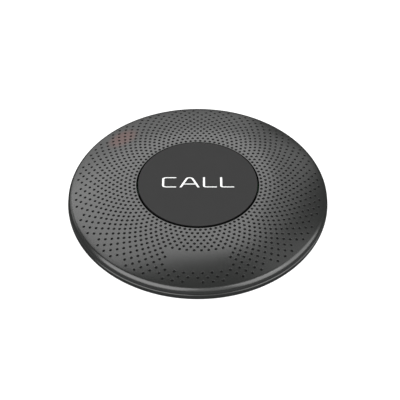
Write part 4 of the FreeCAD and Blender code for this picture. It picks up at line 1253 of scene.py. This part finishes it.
@dataclass
class RubberFeet:
    """Four round rubber feet, each with a rounded edge and a shallow dish in its face."""

    circle: float
    radius: float
    top: float
    edge_round: float = 0.45 * MM
    dish: float = 0.15 * MM
    dish_radius: float = 3.0 * MM
    divisions: int = 64
    edge_steps: int = 5

    def build(self) -> Mesh:
        """Turns one foot and copies it to the other three places.

        Returns:
            The four feet as one piece.
        """
        edge_middle = (self.radius - self.edge_round, self.edge_round)
        section = [
            (0.0, self.dish),
            (self.dish_radius - self.dish, self.dish),
            (self.dish_radius, 0.0),
            *arc(edge_middle, self.edge_round, -90, 0, self.edge_steps),
            (self.radius, self.top),
            (0.0, self.top),
        ]
        foot = turn_section("feet_pressed", section, self.divisions)
        leave_edit(foot)
        side = self.circle * math.sqrt(0.5)
        move_mesh(foot, (side, side, 0.0))
        return hand_over(on_all_quarters(foot), "case", FOOT_RUBBER, "rubber_feet")


@dataclass
class CaseScrews:
    """Four self-tapping screws from below, with rounded heads, a cross recess and a thread."""

    circle: float
    head_face: float                    # height of the heads' faces, which look down
    tip: float
    head_radius: float = 2.3 * MM
    head_height: float = 1.5 * MM
    head_round: float = 0.5 * MM
    crest_radius: float = 1.3 * MM
    root_radius: float = 1.0 * MM
    tip_radius: float = 0.6 * MM
    thread_lead: float = 0.4 * MM       # plain length under the head
    thread_pitch: float = 0.9 * MM
    thread_turns: int = 4
    recess_length: float = 2.7 * MM
    recess_width: float = 0.6 * MM
    recess_depth: float = 1.0 * MM
    recess_start: float = 0.05 * MM     # how far below the head the cutting bars begin
    recess_taper: float = 0.5           # size of the recess at its floor, as a share
    recess_turns: tuple[int, int] = (45, 135)   # directions of its two bars, in degrees
    divisions: int = 48
    edge_steps: int = 5

    def build(self) -> Mesh:
        """Turns one screw, cuts its recess and copies it to the other three places.

        Returns:
            The four screws as one piece.
        """
        screw = turn_section("screws_driven", self.section(), self.divisions)
        leave_edit(screw)
        for turn in self.recess_turns:
            combine(screw, self.recess_bar(turn), Join.CUT)
        move_mesh(screw, (self.circle, 0.0, 0.0))
        return hand_over(on_all_quarters(screw), "case", SCREW_STEEL, "case_screws")

    def section(self) -> list[Point]:
        """Draws the section from the head's face round its edge and up the thread to the tip.

        Returns:
            Its points, with both ends on the axis.
        """
        seat = self.head_face + self.head_height
        thread = seat + self.thread_lead
        edge_middle = (self.head_radius - self.head_round, self.head_face + self.head_round)
        return [
            (0.0, self.head_face),
            *arc(edge_middle, self.head_round, -90, 0, self.edge_steps),
            (self.head_radius, seat),
            (self.crest_radius, seat),
            *(
                (self.root_radius if half % 2 else self.crest_radius, thread + self.thread_pitch * half / 2)
                for half in range(2 * self.thread_turns + 1)
            ),
            (self.tip_radius, self.tip),
            (0.0, self.tip),
        ]

    def recess_bar(self, turn: float) -> Mesh:
        """Makes one bar of the cross that is cut into the head, narrower towards its floor.

        Args:
            turn: direction of the bar in degrees.

        Returns:
            The bar.
        """
        bar = flat_bar("recess_bar", self.recess_length, self.recess_width)
        bpy.ops.transform.translate(value=(0.0, 0.0, self.head_face - self.recess_start))
        height = self.recess_start + self.recess_depth
        bpy.ops.mesh.extrude_region_move(TRANSFORM_OT_translate={"value": (0.0, 0.0, height)})
        bpy.ops.transform.resize(value=(self.recess_taper, self.recess_taper, 1.0))
        close_up()
        leave_edit(bar)
        bar.rotation_euler.z = math.radians(turn)
        bpy.ops.object.transform_apply(location=False, rotation=True, scale=False)
        return bar


# ---------------------------------------------------------------------------------------------
# Springs that give way under the key
# ---------------------------------------------------------------------------------------------


@dataclass
class FingerSpring:
    """Flat spring ring round the switch, with three fingers bent up to the key's plate."""

    low: float                          # height of the ring's underside
    high: float                         # height of the fingers' tips
    radius: float
    bore: float = 9.6 * MM              # radius of the ring's hole
    sheet: float = 0.3 * MM
    fingers: int = 3
    finger_width: float = 1.8 * MM
    finger_length: float = 10.0 * MM
    finger_flat: float = 1.2 * MM       # level stretch at both ends of a finger
    finger_inset: float = 1.7 * MM      # a finger's outer side, in from the ring's outside
    divisions: int = 96

    def build(self) -> Mesh:
        """Stamps the ring, bends one finger, copies it and joins them all.

        Returns:
            The finished spring.
        """
        ring_top = self.low + self.sheet
        section = [
            (self.bore, self.low),
            (self.radius, self.low),
            (self.radius, ring_top),
            (self.bore, ring_top),
            (self.bore, self.low),
        ]
        spring = turn_section("return_spring_fingers", section, self.divisions)
        leave_edit(spring)
        first = self.finger()
        others = [copy_turned(first, 360 / self.fingers * turn) for turn in range(1, self.fingers)]
        for finger in (first, *others):
            combine(spring, finger, Join.ADD)
        hand_over(spring, "case", SPRING_STEEL, "return_spring")
        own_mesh(spring)
        return spring

    def finger(self) -> Mesh:
        """Makes one finger: its side drawn in the XZ plane and drawn out to its width.

        Returns:
            The finger, in its place.
        """
        near, far = -self.finger_length / 2, self.finger_length / 2
        points = [
            (near, self.low),
            (near + self.finger_flat, self.low),
            (far - self.finger_flat, self.high - self.sheet),
            (far, self.high - self.sheet),
            (far, self.high),
            (far - self.finger_flat, self.high),
            (near + self.finger_flat, self.low + self.sheet),
            (near, self.low + self.sheet),
            (near, self.low),
        ]
        finger = draw_section("finger", points)
        close_up()
        bpy.ops.mesh.select_all(action="SELECT")
        bpy.ops.mesh.edge_face_add()
        bpy.ops.mesh.extrude_region_move(TRANSFORM_OT_translate={"value": (0.0, self.finger_width, 0.0)})
        close_up()
        leave_edit(finger)
        move_mesh(finger, (0.0, self.finger_inset - self.radius, 0.0))
        return finger


@dataclass
class SnapDome:
    """Snap dome of the switch: a thin cap that the plunger presses flat."""

    foot: float                         # height of the dome's foot
    top: float
    radius: float
    flat_radius: float = 0.8 * MM       # its flat middle
    sheet: float = 0.12 * MM
    pressed: float = 0.08               # height that is left when pressed, as a share
    divisions: int = 48

    def build(self) -> Mesh:
        """Turns the cap.

        Returns:
            The finished cap.
        """
        section = [
            (0.0, self.top),
            (self.flat_radius, self.top),
            (self.radius, self.foot),
            (self.radius - 2 * self.sheet, self.foot),
            (self.flat_radius, self.top - self.sheet),
            (0.0, self.top - self.sheet),
        ]
        dome = turn_section("snap_dome", section, self.divisions)
        leave_edit(dome)
        hand_over(dome, "case", SPRING_STEEL, "switch_dome")
        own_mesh(dome)
        return dome


# ---------------------------------------------------------------------------------------------
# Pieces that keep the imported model's own mesh
# ---------------------------------------------------------------------------------------------

INNER_FINISHES: dict[str, Finish] = {
    "case_seal": SEAL_SILICONE,
    "door_seal": SEAL_SILICONE,
    "battery_door": BASE_ABS,
    "board_screws": SCREW_STEEL,
    "key_guide": GUIDE_ACETAL,
    "coin_cell_gasket": GUIDE_ACETAL,
    "switch_cover": SPRING_STEEL,
    "positive_contact": SPRING_STEEL,
    "negative_contact": SPRING_STEEL,
    "circuit_board": BOARD_LAMINATE,
    "switch_base": CHIP_RESIN,
    "switch_plunger": CHIP_RESIN,
    "radio_chip": CHIP_RESIN,
    "encoder_chip": CHIP_RESIN,
    "chip_resistors": CHIP_RESIN,
    "switch_terminals": TINNED_COPPER,
    "antenna_wire": TINNED_COPPER,
    "indicator_led": LED_RESIN,
    "light_guide": CLEAR_PLASTIC,
    "crystal_can": CELL_STEEL,
    "coin_cell_can": CELL_STEEL,
    "coin_cell_cap": CELL_STEEL,
    "tuning_inductor": FERRITE,
    "chip_capacitors": CHIP_CERAMIC,
}


def dress_inner_parts() -> None:
    """Gives every node that keeps its own mesh its real material."""
    for node, finish in INNER_FINISHES.items():
        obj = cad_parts[node]
        obj.data.materials.clear()
        obj.data.materials.append(finish.material())
        log.info("%s: %s", node, finish.name)


# ---------------------------------------------------------------------------------------------
# Studio
# ---------------------------------------------------------------------------------------------


@dataclass(frozen=True)
class Softbox:
    """A large soft lamp that faces the button."""

    name: str
    azimuth: float              # direction from the button in degrees, counter-clockwise from +X
    elevation: float
    width: float
    height: float
    power: float                # in watts
    distance: float = 600 * MM

    def build(self) -> None:
        """Hangs the lamp, out of the camera's sight, and turns it to the button."""
        around, up = math.radians(self.azimuth), math.radians(self.elevation)
        away = Vector((math.cos(around) * math.cos(up), math.sin(around) * math.cos(up), math.sin(up)))
        lamp = bpy.data.lights.new(self.name, "AREA")
        lamp.shape = "RECTANGLE"
        lamp.size = self.width
        lamp.size_y = self.height
        lamp.energy = self.power
        obj = bpy.data.objects.new(self.name, lamp)
        obj.location = away * self.distance
        obj.rotation_euler = away.to_track_quat("Z", "Y").to_euler()
        obj.visible_camera = False
        bpy.context.scene.collection.objects.link(obj)


@dataclass
class Studio:
    """Camera, lamps, room light and the lit table."""

    camera_distance: float = 382.3 * MM
    camera_elevation: float = 45.41
    lens: float = 97.90                 # focal length in millimetres, on a 36 mm wide sensor
    shift_x: float = 0.00557
    shift_y: float = 0.01955
    near_clip: float = 10 * MM
    table_side: float = 60.0            # wide enough to fill the view from any side
    room_colour: str = "ffffff"
    room_strength: float = 0.2
    softboxes: tuple[Softbox, ...] = (
        Softbox("upper_window_lamp", 111.0, 60.25, 0.482, 0.217, 1.23),
        Softbox("lower_window_lamp", 109.25, 40.25, 0.60, 0.206, 1.43),
        Softbox("edge_lamp", 68.0, 42.0, 0.16, 0.50, 0.34),
        Softbox("sill_lamp", 119.0, 19.2, 0.985, 0.24, 1.21),
        Softbox("fill_lamp", 29.0, 58.0, 0.20, 0.24, 0.17),
        Softbox("left_lamp", 227.5, 26.0, 0.82, 0.56, 8.1),
        Softbox("front_lamp", 281.0, 26.0, 0.322, 0.56, 0.90),
        Softbox("right_lamp", 318.0, 26.0, 0.39, 0.56, 3.60),
        Softbox("side_lamp", 355.0, 26.0, 0.413, 0.56, 2.80),
    )

    def build(self) -> None:
        """Sets the studio up around the button."""
        self.lay_table()
        for softbox in self.softboxes:
            softbox.build()
        self.light_room()
        self.place_camera()

    def lay_table(self) -> None:
        """Lays the table at height 0, where it doesn't show in glossy reflections."""
        bpy.ops.object.select_all(action="DESELECT")
        bpy.ops.mesh.primitive_plane_add(size=self.table_side)
        table = bpy.context.object
        table.name = "table_top"
        table.data.materials.append(TABLE_ACRYLIC.material())
        table.visible_glossy = False

    def light_room(self) -> None:
        """Fills the room with a low even light."""
        scene = bpy.context.scene
        scene.world = bpy.data.worlds.new("room")
        scene.world.use_nodes = True
        background = scene.world.node_tree.nodes["Background"]
        background.inputs["Color"].default_value = linear(self.room_colour)
        background.inputs["Strength"].default_value = self.room_strength
        scene.view_settings.view_transform = "Standard"

    def place_camera(self) -> None:
        """Points the camera at the button from the guest's side."""
        up = math.radians(self.camera_elevation)
        away = Vector((0.0, -math.cos(up), math.sin(up)))
        data = bpy.data.cameras.new("camera")
        data.lens = self.lens
        data.shift_x = self.shift_x
        data.shift_y = self.shift_y
        data.clip_start = self.near_clip
        camera = bpy.data.objects.new("camera", data)
        camera.location = away * self.camera_distance
        camera.rotation_euler = away.to_track_quat("Z", "Y").to_euler()
        bpy.context.scene.collection.objects.link(camera)
        bpy.context.scene.camera = camera


# ---------------------------------------------------------------------------------------------
# The whole button
# ---------------------------------------------------------------------------------------------


def main() -> None:
    """Builds every sub-assembly in order, then the studio."""
    logging.basicConfig(level=logging.INFO, format="%(message)s")
    shell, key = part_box("top_shell")[1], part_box("call_key")[1]
    base_low, base_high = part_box("base_shell")
    door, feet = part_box("battery_door")[1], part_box("rubber_feet")[1]
    screw_low, screw_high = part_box("case_screws")
    spring_low, spring_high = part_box("return_spring")
    dome_low, dome_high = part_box("switch_dome")
    foot_circle = (feet.x - FOOT_RADIUS) * math.sqrt(2)
    screw_circle = shell.x - SCREW_INSET
    UpperCase(radius=shell.x).build(key.x)
    CallKey(radius=key.x, top=key.z).build()
    LowerCase(shell.x, base_low.z, base_high.z, door.x).build(foot_circle, screw_circle)
    RubberFeet(foot_circle, FOOT_RADIUS, feet.z).build()
    CaseScrews(screw_circle, screw_low.z, screw_high.z).build()
    FingerSpring(spring_low.z, spring_high.z, spring_high.x).build()
    SnapDome(dome_low.z, dome_high.z, dome_high.x).build()
    dress_inner_parts()
    Studio().build()


if __name__ == "__main__":
    main()
